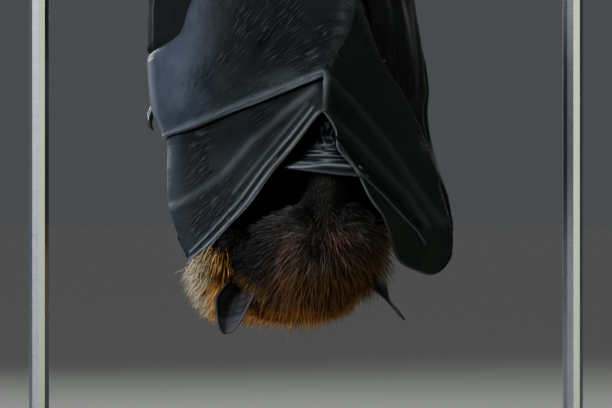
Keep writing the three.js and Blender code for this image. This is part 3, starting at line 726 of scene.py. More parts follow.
def right_look(x, z):
    """How much painted blue sky sheen, how much painted shade and how crinkled the right wing's skin is."""
    left_side, patchy = beside_keel(x, z), patches(x, z, 9, 4, 0.3, 0.7)
    ridge, (_, away) = over_ridge(x, z), polar(x, z, FAR_JOINT)
    # painted shade: darker away from the lit left edge and the band over the ridge, beyond the keel, and in the deep
    # crease
    painted_shade = left_side * 0.95 * smoothstep(-52, -22, x) * smoothstep(4, 14, ridge) + 0.2 * (1 - left_side)
    painted_shade = np.maximum(painted_shade, left_side * bump_at(line_distance(x, z, CREASES[0][0])[0] / 2.4, 1))
    spreading = smoothstep(3, 12, away) * smoothstep(105, 60, away) * fan_band(x, z) * (0.3 + 0.7 * patchy)
    crinkle = 0.06 + left_side * spreading
    crinkle += left_side * 0.8 * bump_at(np.hypot(x - 8, z - 194) / 15, 1) * patchy + 0.14 * (1 - left_side)
    # painted blue sky sheen towards the lit left side and along the ridge
    painted_blue_sheen = smoothstep(-25, -60, x) + 0.25 * smoothstep(5, 1, ridge) * left_side
    return painted_blue_sheen, painted_shade, crinkle


def left_look(x, z):
    """How much painted blue sky sheen, how much painted shade and how crinkled the left wing's skin is."""
    patchy = smoothstep(0.3, 0.7, noise(x / 9 + 3, z / 9, 4))
    ridge = -over_ridge(x, z)
    hem, _ = line_distance(x, z, LEFT_BONES[0][0])
    # painted shadow under the right wing's ridge and where that wing covers this one, less at the left edge and by the
    # hem
    painted_shade = 0.55 + 0.4 * smoothstep(22, 4, ridge)
    painted_shade = painted_shade * smoothstep(-60, -51, x) * (1 - 0.5 * smoothstep(14, 4, hem))
    painted_shade = np.where(ridge < 0, 1.0, painted_shade)
    # painted blue sky sheen at the left edge
    painted_blue_sheen = 0.5 * smoothstep(-44, -58, x) + 0.05
    return painted_blue_sheen, painted_shade, np.where(ridge < 0, 0.08, 0.12 + 0.75 * patchy * smoothstep(-56, -46, x))


def hidden_look(x, z):
    """The skin behind the arms: duller, and darkened in patches by painted shade."""
    patchy = smoothstep(0.35, 0.65, noise(x / 8, z / 14, 3))
    return 0 * x, 0.45 + 0.35 * patchy, 0.10 + 0.4 * patchy


def fold_look(x, z):
    # a little painted blue sheen and strong painted shade over the whole fold
    return 0 * x + 0.3, 0 * x + 0.8, 0 * x + 0.2


def wing_sheet(low, high, columns, rows, inset, relief, thickness, hem=(0.35, 0.5), flare=None):
    """A wing's skin as the two sides of a thin shell, with how pale each point is and its x and height."""
    phi, z = sheet_grid(low, high, columns, rows)
    base = wrap_point(phi, z, inset(phi, z))
    outward = np.stack([np.sin(phi), -np.cos(phi), 0 * phi], -1)
    normals = grid_normals(base, outward)
    x = base[..., 0]
    rise, pale = relief(x, z, np.degrees(phi))
    from_edge = np.concatenate([
        np.zeros((columns, 1)), np.cumsum(np.linalg.norm(np.diff(base, axis=1), axis=2), axis=1)], axis=1)
    height, width = hem
    if flare:
        rise = rise + flare(x) * np.exp(-from_edge / 2.4)
    rise = rise * smoothstep(-0.6, 2.0, from_edge) + height * bump_at(from_edge - width, 0.8 * width)
    # the far edge lies down on what is under it
    rise = rise - 1.1 * np.exp(-(from_edge[:, -1:] - from_edge) / 1.2)
    # painted highlight: a pale line along the lower edge, where light catches the skin's thickness, fainter beyond the
    # keel
    pale = np.maximum(pale, (0.9 - 0.45 * smoothstep(4, 12, x)) * bump_at(from_edge - 0.3, 0.6))
    outer = base + normals * rise[..., None]
    return (outer, outer - normals * thickness), (pale, x, z)


def dress_sheet(name, nodes, sides, fields, material, fans, share, look):
    """Makes a sheet's object from its two sides, with the fields that its material reads at each point."""
    obj = new_object(name, *closed_shell(*sides), material, "membrane")
    pale, x, z = fields
    values = {"pale": pale, "fan_near": fan_field(x, z, fans[0], 1.0), "fan_far": fan_field(x, z, fans[1], 1.15),
              "fan_share": share(x, z)}
    # the look gives each point a painted blue sky sheen, painted shade and its crinkles
    values.update((key, np.clip(value, 0, 1)) for key, value in zip(("painted_blue_sheen", "painted_shade", "crinkle"), look(x, z)))
    for key, value in values.items():
        add_field(obj, key, np.concatenate([value.reshape(-1, *value.shape[2:])] * 2))
    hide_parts(*nodes)


FOLD_LEFT = [(6.5, 160.5), (5.9, 157.4), (3.9, 153.4), (0.9, 149.7), (-1.0, 147.0), (-5, 143.9), (-9.6, 141.2)]
FOLD_RIGHT = [(14.5, 160.5), (15, 157.4), (16, 153.4), (18, 149.2), (20.5, 145.6), (23.5, 141.6), (27, 137.0)]


def fold_sheet(columns=112, rows=80, thickness=0.6):
    """The gathered skin between the wings' edges: pleats above, cross wrinkles below, and a double hem, with painted
    highlights on the hem and the crests.
    """
    v = np.linspace(0, 1, rows)
    index = np.linspace(0, len(FOLD_LEFT) - 1, rows)
    sides = [np.stack([np.interp(index, range(len(edge)), [p[axis] for p in edge]) for axis in (0, 1)], -1)
             for edge in (FOLD_LEFT, FOLD_RIGHT)]
    u = np.linspace(0, 1, columns)[:, None]
    x = sides[0][:, 0] * (1 - u) + sides[1][:, 0] * u
    z = sides[0][:, 1] * (1 - u) + sides[1][:, 1] * u - 1.5 * u * (1 - u) * v ** 2
    y = -56.5 + 8.5 * v + 4.5 * (2 * u - 1) ** 2 + 1.5 * np.sin(math.pi * v)
    gathers = np.abs(noise(x / 1.25 + 0.5 * np.sin(z * 0.9), z / 7, 1) - 0.5) * 2
    wander = 1.2 * noise(x / 9, z / 9, 2) + 0.055 * (x - 9)
    cross = np.abs(noise(x / 17, z / 0.85 + wander, 3) - 0.5) * 2
    rise = 0.9 * (1 - gathers) * smoothstep(0.55, 0.3, v)
    rise = rise + 1.15 * (1 - cross) * smoothstep(0.12, 0.4, v) * smoothstep(1, 0.86, v)
    to_hem = (1 - v) * (sides[0][0, 1] - sides[0][-1, 1])
    upper = 0.9 + 2.3 * smoothstep(0.05, 0.55, u)          # the hem's bright line leaves its lower edge
    inside_hem = smoothstep(-0.2, 0.8, to_hem - upper)
    rise = rise * inside_hem
    rise = rise + 0.9 * bump_at(to_hem - upper, 0.5) + 0.6 * bump_at(to_hem - 0.6, 0.7)
    rise = rise - 0.8 * smoothstep(0.08, 0, u)
    # painted highlights: a bright line along the hem, and pale crests of the cross wrinkles and the pleats
    pale = np.maximum(1.0 * bump_at(to_hem - upper - 0.1, 0.55), 0.25 * bump_at(to_hem - 0.5, 0.6))
    pale = np.maximum(pale, 0.6 * smoothstep(0.6, 1.0, 1 - cross) * smoothstep(0.2, 0.5, v) * inside_hem)
    pale = np.maximum(pale, 0.8 * smoothstep(0.7, 0.97, 1 - gathers) * smoothstep(0.6, 0.3, v))
    outer = np.stack([x, y - rise, z], -1)
    return (outer, outer + np.array([0, thickness, 0])), (pale, x, z)


def right_inset(phi, z):
    return 0.3 - 1.6 * smoothstep(-0.9, -1.5, phi)


def left_inset(phi, z):
    """The left wing lies under the right one and comes out to the envelope beyond its edges."""
    x = wrap_point(phi, z, 0)[..., 0]
    arc = np.array(ARC)
    below = -over_ridge(x, z)
    beyond = np.interp(z, arc[:, 1], arc[:, 0]) - x
    aside = smoothstep(-0.8, -1.3, phi)
    free = smoothstep(1.5, 8, below) * (1 - aside) + smoothstep(-3, 1, below) * aside
    free = np.maximum(free, smoothstep(1, 7, beyond) * (z > 186))
    return np.where(phi < 0.05, 2.6 - 2.3 * free - 1.4 * free * smoothstep(-0.9, -1.5, phi), 2.4)


def right_arm_inset(phi, z):
    """The right arm's skin comes from under the wing and out to the envelope behind it."""
    over = np.interp(np.degrees(phi), [8, 33, 45, 62, 75, 80, 88, 94, 97],
                     [208, 187, 177, 166, 155, 143, 131, 119, 107])
    return 2.6 - (2.6 + 1.8 * smoothstep(175, 205, z)) * smoothstep(1, 9, z - over) * smoothstep(330, 250, z)


def left_arm_inset(phi, z):
    return 1.6 + 0 * z


# ---------------------------------------------------------------- body
# Ovals round the body: height, centre x and y, half width, half depth, and the coat's depth there.
CHEST = [(116.3, -5, 15, 31, 27, 6), (135, -5, 16, 32, 27, 6), (160, -7, 18, 33, 29, 6), (184.3, -9, 19, 31, 28, 6)]
ABDOMEN = [(184.3, -9, 19, 31, 28, 6), (205, -11, 20, 30, 27, 6), (228, -14, 21, 27, 24, 5),
           (246, -16, 22, 22, 19, 5), (257, -17, 23, 13, 11, 4), (262, -17, 23, 4, 4, 3)]
NECK = [(77.5, -15, 8, 14, 10, 8), (79.5, -15, 9, 30, 20, 11), (87, -13, 10, 40, 27, 12), (97, -10, 12, 42, 30, 11),
        (107, -6, 14, 37, 29, 9), (116.4, -5, 15, 31, 27, 6)]
HEAD = [(74.5, -5, -17, 11, 8, 6), (76.5, -5, -17, 20, 15, 6.5), (80, -4.5, -18, 24.5, 19.5, 6),
        (87, -3, -20, 28, 23, 5.5), (95, -0.5, -22, 31, 25.5, 5), (104, 0.5, -23.5, 32, 25.5, 4),
        (111, 3, -25, 29, 23, 3), (117, 6, -26.5, 23, 19.5, 2.2), (123, 8, -28, 15.5, 15.5, 1.6),
        (131, 9, -29, 10.5, 12.5, 1.1), (140, 9.5, -30, 9, 10, 0.9), (147, 10, -30.5, 7.5, 8, 0.8)]
JAW = [(112, 6, -13.5, 9, 2.2, 0.8), (120, 8, -14, 10, 4, 1.2), (131, 9, -17, 8, 5, 1), (140, 9.5, -20, 6, 4.5, 0.8),
       (145, 10, -21.5, 3.5, 3, 0.6)]
NOSE = (10, -31, 150)
EYES = [(-1.7, -38.2, 118.0), (18.9, -38.2, 120.0)]
EYE_RADIUS = 5.6
LIMB_INSET = 5.0
TOES = range(-2, 3)
LEG_POINTS = {"hip": (12, 24, 240, -16), "knee": (19, 23.5, 291, -19), "ankle": (14, 21, 349, -20)}
PERCH = (2.0, 372.0, 12.0)       # y, height and radius of the branch
BRANCH_HALF = 135.4              # half its length


def leg_point(joint, side):
    spread, y, z, lean = LEG_POINTS[joint]
    return np.array([lean + side * spread, y, z], float)


def on_wrap(degrees, z, inset):
    return wrap_point(math.radians(degrees), z, inset)


def toe_path(side, n, steps=14):
    """A toe that curls over the branch from behind, with its claw's root at the front."""
    y, z, radius = PERCH
    x = leg_point("ankle", side)[0]
    reach = 108 if n == -side * 2 else 136
    share = np.linspace(0, 1, steps)
    angle = np.radians(-24 + (reach + 24) * share)
    knuckle = 0.5 * np.sin(share * 3 * math.pi) ** 2
    lift = radius + 2.6 + knuckle
    across = x + n * (1.5 + 2.7 * np.minimum(1, share * 2))
    return np.stack([across, y + lift * np.cos(angle), z + lift * np.sin(angle)], -1)


def arm_paths(side):
    forearm = [on_wrap(side * (92 + 4 * n), z, LIMB_INSET + deep)
               for n, (z, deep) in enumerate([(112, 5), (150, 5.8), (195, 6.6), (236, 8)])]
    upper = [(-5 + side * 27, 15, 116), (-7 + side * 32, 19, 165), forearm[3] + np.array([-side * 5, -2, -6])]
    wrist = [on_wrap(side * 84, 105, LIMB_INSET + 7.5), on_wrap(side * 90, 114, LIMB_INSET + 5.5)]
    thumb = [on_wrap(side * a, z, LIMB_INSET + 8) for a, z in ((70, 112), (60, 124), (54, 136))]
    return forearm, upper, wrist, thumb


def oval_rings(table, step=1.5, sides=56):
    """Rings through a table of ovals, less the depth of the coat."""
    table = np.asarray(table, float)
    heights = np.arange(table[0, 0], table[-1, 0], step)
    x, y, a, b, depth = np.moveaxis(along(table, heights), -1, 0)
    angles = full_turn(sides)
    a, b = np.maximum(a - depth, 1.5), np.maximum(b - depth, 1.5)
    low, high = heights[0] + depth[0] * 0.8, heights[-1] - depth[-1] * 0.8
    heights = low + (heights - heights[0]) * (high - low) / (heights[-1] - heights[0])
    return np.stack([x[:, None] + a[:, None] * np.sin(angles), y[:, None] - b[:, None] * np.cos(angles),
                     heights[:, None] + 0 * angles], -1)


def limb(points, steps, places, radii, sides):
    """A round bar through the points, its radii given at shares of its length."""
    return tube(smooth_path(points, steps), np.interp(np.linspace(0, 1, steps + 1), places, radii), sides)


def flesh_parts():
    """Every part of the body as rings of points, before they are grown into one skin."""
    parts = [oval_rings(table) for table in (CHEST, ABDOMEN, NECK, HEAD, JAW)]
    # chest, belly and neck are joined by a core that runs through them
    parts.append(limb([(-8, 10, 92), (-5, 15, 118), (-8, 18, 160), (-12, 20, 210), (-16, 22, 240)], 40,
                      [0, 0.2, 0.5, 0.8, 1], [20, 21, 23, 20, 13], 32))
    for side in (-1, 1):
        hip, knee, ankle = (leg_point(name, side) for name in ("hip", "knee", "ankle"))
        forearm, upper, wrist, thumb = arm_paths(side)
        thigh = [hip + (0, 0, -4), (hip + knee) / 2 + (side * 1.5, 1, 0), knee]
        shank = [knee, (knee + ankle) / 2 + (0, 1.2, 0), ankle]
        heel = [ankle + (0, 0, -3), ankle + (0, 1.0, 4),
                (ankle[0], PERCH[0] + 17.4, 363), (ankle[0], PERCH[0] + 16.4, 370)]
        parts += [
            limb(thigh, 20, [0, 0.3, 0.75, 1], [10.5, 9, 5.4, 4.6], 24),
            limb(shank, 20, [0, 0.08, 0.3, 0.8, 1], [4.9, 5.2, 4.4, 3.0, 3.4], 20),
            limb(heel, 14, [0, 0.2, 0.6, 1], [3.3, 4.1, 4.6, 4.0], 18),
        ]
        for n in TOES:
            path = toe_path(side, n)
            parts.append(tube(path, 1.95 + 0.42 * np.sin(np.linspace(0, 3 * math.pi, len(path))) ** 2, 12))
        parts += [
            limb(forearm, 30, [0, 1], [4.3, 6.2], 16), limb(upper, 24, [0, 1], [8.5, 5.6], 18),
            limb(wrist + [forearm[1]], 16, [0, 1], [4.7, 4.4], 16),
            limb([wrist[0]] + thumb, 16, [0, 1], [3.2, 2.2], 12),
        ]
    return parts


def ball_rings(centre, size, rings=14, sides=20):
    turns = np.linspace(0, math.pi, rings + 2)[1:-1, None]
    angles = full_turn(sides)[None]
    return np.stack([centre[0] + size[0] * np.sin(turns) * np.cos(angles),
                     centre[1] + size[1] * np.sin(turns) * np.sin(angles),
                     centre[2] + size[2] * np.cos(turns) + 0 * angles], -1)


def grow_together(parts, voxel):
    """One closed surface round all the parts: its points in millimetres and its quads."""
    points, faces, start = [], [], 0
    for rings in parts:
        points.append(np.concatenate([rings.reshape(-1, 3), end_points(rings)]))
        faces.append(ring_faces(*rings.shape[:2], start))
        start += len(points[-1])
    mesh = bpy.data.meshes.new("flesh")
    mesh.from_pydata((np.concatenate(points) * MM).tolist(), [], np.concatenate(faces).tolist())
    block = linked("flesh", mesh)
    block_mesh = bmesh.new()
    block_mesh.from_mesh(mesh)
    bmesh.ops.recalc_face_normals(block_mesh, faces=block_mesh.faces)
    block_mesh.to_mesh(mesh)
    block_mesh.free()
    remesh = block.modifiers.new("skin", "REMESH")
    remesh.mode, remesh.voxel_size, remesh.adaptivity = "VOXEL", voxel * MM, 0
    bpy.context.view_layer.update()
    grown = block.evaluated_get(bpy.context.evaluated_depsgraph_get()).to_mesh()
    vertices = np.empty(len(grown.vertices) * 3)
    grown.vertices.foreach_get("co", vertices)
    quads = np.array([tuple(face.vertices) for face in grown.polygons if len(face.vertices) == 4])
    bpy.data.objects.remove(block)
    bpy.data.meshes.remove(mesh)
    return vertices.reshape(-1, 3) / MM, quads


def relax(points, quads, rounds, weight=None):
    """Evens a surface out, each point moving towards its neighbours and then part of the way back."""
    pairs = np.concatenate([quads[:, [0, 1]], quads[:, [1, 2]], quads[:, [2, 3]], quads[:, [3, 0]]])
    pairs = np.concatenate([pairs, pairs[:, ::-1]])
    count = np.bincount(pairs[:, 0], minlength=len(points))[:, None]
    weight = 1.0 if weight is None else weight[:, None]
    for turn in range(2 * rounds):
        sums = np.stack([np.bincount(pairs[:, 0], points[pairs[:, 1], axis], len(points)) for axis in range(3)], -1)
        step = 0.6 if turn % 2 == 0 else -0.61
        points = points + weight * step * (sums / np.maximum(count, 1) - points)
    return points


def quad_normals(points, quads):
    """Unit normals at the points of a closed surface of quads, and each quad's area."""
    a, b, c, d = (points[quads[:, n]] for n in range(4))
    crosses = np.cross(c - a, d - b) / 2
    normals = np.stack([
        np.bincount(quads.ravel(), np.repeat(crosses[:, axis], 4), len(points)) for axis in range(3)], -1)
    return unit(normals), np.linalg.norm(crosses, axis=1)


def sculpt_face(points, normals):
    """Brows, sockets, cheeks, the dip between the eyes, and lids that nearly close over the eyes."""
    x, y, z = points.T
    ahead = smoothstep(-22, -30, y)
    push = np.zeros(len(points))
    for side, (ex, _, ez) in zip((-1, 1), EYES):
        push -= 1.5 * spot(x, z, (ex - side * 1.0, ez + 1.5), (8.5, 7.5))        # socket
        push += 1.5 * spot(x, z, (ex - side * 0.5, ez - 8.2), (7.5, 3.2))        # brow
        push += 1.1 * spot(x, z, (ex + side * 5, ez - 4), (5, 7))                # cheek
    push += 1.2 * bump_at((x - 8.8) / 5.0, 1) * smoothstep(112, 122, z) * smoothstep(146, 138, z)
    push -= 1.3 * spot(x, z, (8.3, 110), (3.5, 9))
    points = points + normals * (push * ahead)[:, None]
    for side, eye in zip((-1, 1), EYES):         # lids: a dome over each eye, open by a slit
        away = points - np.array(eye)
        reach = np.linalg.norm(away, axis=1)
        line = away[:, 2] - 0.10 * side * away[:, 0] + 1.4 - 0.035 * away[:, 0] ** 2
        slit = bump_at(line, 0.75) * smoothstep(5.6, 3.2, np.abs(away[:, 0])) * (away[:, 1] < 0)
        fold = bump_at(line - 2.7, 0.7) + bump_at(line + 2.9, 0.8)
        dome = EYE_RADIUS + 0.75 + 0.35 * bump_at(np.abs(line) - 1.1, 0.7) - 1.35 * slit - 0.3 * fold
        share = smoothstep(EYE_RADIUS + 3.0, EYE_RADIUS + 0.9, reach) * (away[:, 1] < 0.5)
        inner = reach < dome
        target = np.array(eye) + unit(away) * dome[:, None]
        points = np.where(inner[:, None], target, points + (target - points) * share[:, None])
    return points


# Each ear is a cupped leaf: base and tip of its axis, half width, the sides it lies across and opens to, how blunt
# its tip is, how much it narrows to a tail, and how strong the painted highlight on its tip is.
EARS = {
    "ear_left": ((-28.2, -26.5, 93), (-33.3, -33.5, 70.8), 8.9, (1, -0.1, 0.2), (-0.1, -1, 0.1), 2.4, 0.1, 0.35),
    "ear_right": ((25, -25, 97), (41.6, -30, 76.4), 9.0, (0.15, -1, 0), (0.75, 0.1, 0.65), 1.7, 0.8, 0.12),
}


def ear_shell(base, tip, width, across, opens, blunt, taper, worn_and_highlit, columns=64, rows=72):
    """A thin cupped ear with a rolled rim, shallow ribs inside and a soft point."""
    start, end = np.array(base, float), np.array(tip, float)
    side, mouth = unit(np.array(across, float)), unit(np.array(opens, float))
    t = np.linspace(0, 1, rows)[None, :]
    u = np.linspace(-1, 1, columns)[:, None]
    arc = math.pi / 2 * (0.95 - 0.35 * t)
    bend = u * arc
    half = width * (0.62 + 0.38 * np.sin(math.pi * np.minimum(t * 1.6, 0.5))) * np.sqrt(1 - t ** blunt) + 0.3
    tail = 1 - taper * smoothstep(0.26, 0.66, t)
    half = half * tail
    depth = width * 0.85 * (1 - 0.25 * t) * np.sqrt(1 - t ** (blunt + 2)) * tail
    middle = (start + (end - start) * t[..., None]
              + side * (half * np.sin(bend) / np.sin(arc))[..., None]
              + mouth * (depth * 0.5 - depth * (np.cos(bend) - np.cos(arc)))[..., None])
    rim = np.maximum(np.abs(u) ** 6, t ** 14)
    ribs = 0.06 * np.cos(t * 46) * (1 - u ** 4) * smoothstep(0.15, 0.4, t) + 0.25 * bump_at(u, 0.10) * (1 - t)
    inward = side * (-np.sin(bend))[..., None] + mouth * np.cos(bend)[..., None]
    middle = middle + inward * (ribs + 0.55 * rim)[..., None]
    thick = (0.42 + 0.28 * rim)[..., None]
    # pale: a painted highlight along the rim, stronger on one side, and a painted lilac highlight on the tip
    pale = np.clip(0.6 * rim * (0.3 + 0.7 * (u > 0)) + worn_and_highlit * smoothstep(0.62, 0.76, t + 0.06 * u ** 2), 0, 1)
    return *closed_shell(middle - inward * thick, middle + inward * thick), np.concatenate([pale.ravel()] * 2)


def hooked_claw(root, forward, down, length, width):
    """A curved claw from its root: a path and the radii along it."""
    t = np.linspace(0, 1, 12)[:, None]
    path = root + forward * length * np.sin(t * 1.35) + down * length * 0.75 * (1 - np.cos(t * 1.5))
    radii = width * (1 - t[:, 0] ** 1.6) + 0.16
    return path, radii


def branch_surface(columns=270, rows=76):
    """A cut branch with furrowed bark and two old knots, and its sawn ends."""
    y, z, radius = PERCH
    x = np.linspace(-BRANCH_HALF, BRANCH_HALF, columns)[:, None]
    turn = full_turn(rows)[None, :]
    knots = bump_at((x + 78) / 9, 1) + 0.8 * bump_at((x - 88) / 8, 1)
    folded = np.where(turn < math.pi, turn, 2 * math.pi - turn)
    furrow = np.abs(noise(x / 16, folded * 6.5 + 0.4 * np.sin(x / 9), 6) - 0.5) * 2
    grain = noise(x / 5, folded * 14, 7) - 0.5
    swell = noise(x / 38, folded * 1.2, 5) - 0.5
    scar = sum(spot(x, 3 * turn, (at_x, 3 * at_turn), (5, 1)) for at_x, at_turn in ((-78, 4.0), (88, 1.2)))
    bark = radius - 0.75 + 1.5 * knots + 0.8 * np.minimum(furrow * 2.2, 0.8) + 0.45 * grain
    bark = bark + 0.9 * swell - 1.2 * scar
    bark = bark * np.where(np.abs(x) > BRANCH_HALF - 1.2, 0.965, 1)
    return np.stack([x + 0 * turn, y + bark * np.cos(turn), z + bark * np.sin(turn)], -1)


# ---------------------------------------------------------------- settings
def colour_property(name, description, hex_colour):
    return FloatVectorProperty(
        name=name, description=description, subtype="COLOR", size=3, min=0, max=1, default=linear(hex_colour)[:3])


class WingSettings(bpy.types.PropertyGroup):
    """The wings' skin."""

    # the painted blue sky sheen that the wings' skin shows on its lit side
    membrane: colour_property("Membrane", "Lighter tone of the wings' skin", "#414757")
    # colour of the painted highlights on hems and wrinkle crests, and of paler worn skin over the knuckles
    hem: colour_property("Hems", "Worn hems and knuckles of the wings", "#7d8087")
    thickness: FloatProperty(
        name="Thickness", description="Thickness of the wings' skin", unit="LENGTH", default=0.00055, min=0.0003)


class CoatSettings(bpy.types.PropertyGroup):
    """The fur."""

    face: colour_property("Face", "Tips of the face's hair", "#271b13")
    crown: colour_property("Crown", "Tips of the crown's hair", "#5f3f20")
    mantle: colour_property("Mantle", "Tips of the mantle's hair", "#bd8f55")
    cream: colour_property("Cream", "Tips of the pale tuft at the left of the neck", "#bcaa8c")
    bare: colour_property("Bare skin", "Ears, nose, lids and feet", "#1d1b20")
    density: FloatProperty(
        name="Density", description="Share of the full number of tufts", default=1.0, min=0.05, max=1.5)


class StandSettings(bpy.types.PropertyGroup):
    """Branch and stand."""

    bark: colour_property("Bark", "Crests of the bark", "#6b5a48")
    wood: colour_property("Base", "Lighter grain of the base", "#5d3f28")


class StageSettings(bpy.types.PropertyGroup):
    """Floor, light and camera."""

    floor: colour_property("Floor", "Colour of the floor", "#b9b9b4")
    floor_size: FloatProperty(name="Floor size", description="Side of the floor", unit="LENGTH", default=40.0, min=1.0)
    key_power: FloatProperty(name="Key light", description="Power of the key light", unit="POWER", default=3.1, min=0)
    distance: FloatProperty(
        name="Camera distance", description="From the camera to the front of the wings", unit="LENGTH", default=1.5)
    height: FloatProperty(name="Camera height", description="Above the floor", unit="LENGTH", default=0.126)


def settings(name):
    return getattr(bpy.context.scene, name)


def dress_nodes(material, *names):
    """Gives the nodes that keep their shape a material."""
    for name in names:
        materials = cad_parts[name].data.materials
        materials.clear()
        materials.append(material)


# ---------------------------------------------------------------- operators
WING_NODES = {
    "wing_right": ("membrane_hand_right", "finger_3_right", "finger_4_right", "finger_5_right"),
    "wing_left": ("membrane_hand_left", "finger_4_left", "finger_5_left"),
}
FLESH_NODES = [
    "chest", "abdomen", "neck", "head", "lower_jaw", "nose",
    *[f"{part}_{side}" for part in ("thigh", "shank", "foot", "upper_arm", "forearm", "wrist", "thumb")
      for side in ("left", "right")],
]


BACKDROP = (0.86, 0.93, 1.0, 1.0), 0.085        # colour and strength
SKY_STRENGTH = 0.30              # of the sun lamp that lights the far floor as brightly as the backdrop
LAMP_AIM = np.array([0.0, -0.02, 0.15])
LAMPS = (                        # name, place, diameter, share of the key light's power, colour
    ("key", (-1.55, -0.85, 0.6), 0.5, 1.05, (0.84, 0.92, 1.0)),
    ("fill", (1.3, -1.6, 0.2), 1.2, 0.42, (0.85, 1.0, 0.62)),
    ("rim", (0.35, 1.8, 0.8), 0.8, 0.35, (0.95, 1.0, 0.90)),
    ("back", (-0.9, 1.6, 0.8), 0.8, 0.6, (0.93, 0.97, 1.0)),
)


class FRUITBAT_OT_stage(bpy.types.Operator):
    """Makes the floor, the lights and the camera"""

    bl_idname = "fruitbat.stage"
    bl_label = "Stage"

    def execute(self, context):
        stage = settings("fruit_bat_stage")
        half = stage.floor_size / 2
        mesh = bpy.data.meshes.new("floor")
        mesh.from_pydata([(-half, -half, 0), (half, -half, 0), (half, half, 0), (-half, half, 0)], [], [(0, 1, 2, 3)])
        mesh.materials.append(studio_paper(stage.floor))
        floor = linked("floor", mesh)

        world = bpy.data.worlds.new("studio")
        context.scene.world = world
        world.use_nodes = True
        backdrop = world.node_tree.nodes["Background"]
        backdrop.inputs["Color"].default_value, backdrop.inputs["Strength"].default_value = BACKDROP
        sky = bpy.data.lights.new("sky", "SUN")
        sky.energy, sky.angle = SKY_STRENGTH, math.radians(60)
        linked("sky", sky, (0, 0, 3))
        for name, place, size, share, colour in LAMPS:
            light = bpy.data.lights.new(name, "AREA")
            light.shape, light.size, light.spread = "DISK", size, math.radians(45)
            light.energy, light.color = stage.key_power * share, colour
            lamp = linked(name, light, place)
            lamp.rotation_euler = Vector(LAMP_AIM - np.array(place)).to_track_quat("-Z", "Y").to_euler()
            lamp.visible_camera = False

        lens = bpy.data.cameras.new("camera")
        lens.lens, lens.sensor_width, lens.clip_end = 210, 36, 100
        camera = linked("camera", lens, (0, -stage.distance - 0.05, stage.height))
        camera.rotation_euler = (math.pi / 2, 0, 0)
        context.scene.camera = camera
        return {"FINISHED"}


class FRUITBAT_OT_stand(bpy.types.Operator):
    """Finishes the base and rods, and makes the branch"""

    bl_idname = "fruitbat.stand"
    bl_label = "Stand and branch"

    def execute(self, context):
        stand = settings("fruit_bat_stand")
        wood, steel, bark = oiled_wood(stand), brushed_steel(), weathered_bark(stand)
        dress_nodes(wood, "stand_base")
        dress_nodes(steel, "stand_rod_left", "stand_rod_right")
        rings = branch_surface()
        points = np.concatenate([rings.reshape(-1, 3), end_points(rings)])
        branch = new_object("perch_bark", points, ring_faces(*rings.shape[:2]), bark, "bark")
        branch.data.materials.append(sawn_wood())
        reach = np.abs(np.array([face.center[0] for face in branch.data.polygons])) / MM
        branch.data.polygons.foreach_set("material_index", (reach > BRANCH_HALF - 0.5).astype(int))
        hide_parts("perch")
        return {"FINISHED"}


VOXEL, QUICK_VOXEL = 1.0, 1.6    # mesh size of the skin
SKIN = {}                        # the skin's points, quads, normals and areas, which the coat grows from


class FRUITBAT_OT_skin(bpy.types.Operator):
    """Grows one skin over the body, head, arms and legs"""

    bl_idname = "fruitbat.skin"
    bl_label = "Skin"

    def execute(self, context):
        parts = flesh_parts()
        parts.append(ball_rings(NOSE, (5.4, 5.0, 3.6)))
        parts += [ball_rings(eye, (EYE_RADIUS + 1.0,) * 3) for eye in EYES]
        points, quads = grow_together(parts, VOXEL)
        if not len(quads):
            raise RuntimeError("the skin did not grow together")
        face = smoothstep(-8, -20, points[:, 1]) * smoothstep(100, 108, points[:, 2])
        points = relax(points, quads, 4, 1 - 0.55 * face)
        normals, _ = quad_normals(points, quads)
        points = sculpt_face(points, normals)
        points = relax(points, quads, 1, 0.4 * (1 - face))
        skin = new_object("skin", points, quads, furred_skin(), "coat_fur")
        normals, areas = quad_normals(points, quads)
        under, over = markings(points)
        add_field(skin, "coat_colour", np.concatenate([0.6 * under + 0.4 * over, np.ones((len(points), 1))], 1))
        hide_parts(*FLESH_NODES)
        SKIN.update(points=points, quads=quads, normals=normals, areas=areas)
        return {"FINISHED"}


# ---------------------------------------------------------------- coat
LOCK_SIZE = 3.4                  # tufts this near to each other share one lightness
BAKE_PATCH, BAKE_SPAN = 0.003, 0.994             # sides of a tuft's patch and of the map's used square


def within(values, limits):
    return (values > limits[0]) & (values <= limits[1])


def inside(table, points, grow):
    """Where points lie inside a table's ovals, grown by a few millimetres."""
    table = np.asarray(table, float)
    x, y, a, b, _ = np.moveaxis(along(table, points[:, 2]), -1, 0)
    level = (points[:, 2] > table[0, 0] - grow) & (points[:, 2] < table[-1, 0] + grow)
    return level & (((points[:, 0] - x) / (a + grow)) ** 2 + ((points[:, 1] - y) / (b + grow)) ** 2 < 1)


def regions(points):
    """Shares, from 0 to 1, of the parts of the coat at each point: head, mantle, trunk, leg and arm."""
    x, y, z = points.T
    on_head = inside(HEAD, points, -1.0).astype(float) * smoothstep(6, -6, y + 0.25 * (z - 90))
    on_head = np.maximum(on_head, (z > 112) * (y < -12) * (np.abs(x - 8) < 30))
    leg = smoothstep(250, 272, z)
    low_arm = ((x > 33) | (x < -45)) & (z < 118)
    high_arm = (np.abs(x + 6) > 37) & (z > 108) & (z < 250)
    arm = (~inside(NECK, points, 3) & (low_arm | high_arm)).astype(float) * (1 - on_head)
    mantle = (1 - on_head) * smoothstep(132, 112, z) * (1 - arm)
    trunk = (1 - on_head) * (1 - mantle) * (1 - leg) * (1 - arm)
    return on_head, mantle, trunk, leg, arm


def paint(base, colour, share):
    """Lays a colour, a hex or a setting, over the base where share is 1."""
    share = np.clip(share, 0, 1)[:, None]
    return base * (1 - share) + np.array(shade_of(colour)[:3]) * share


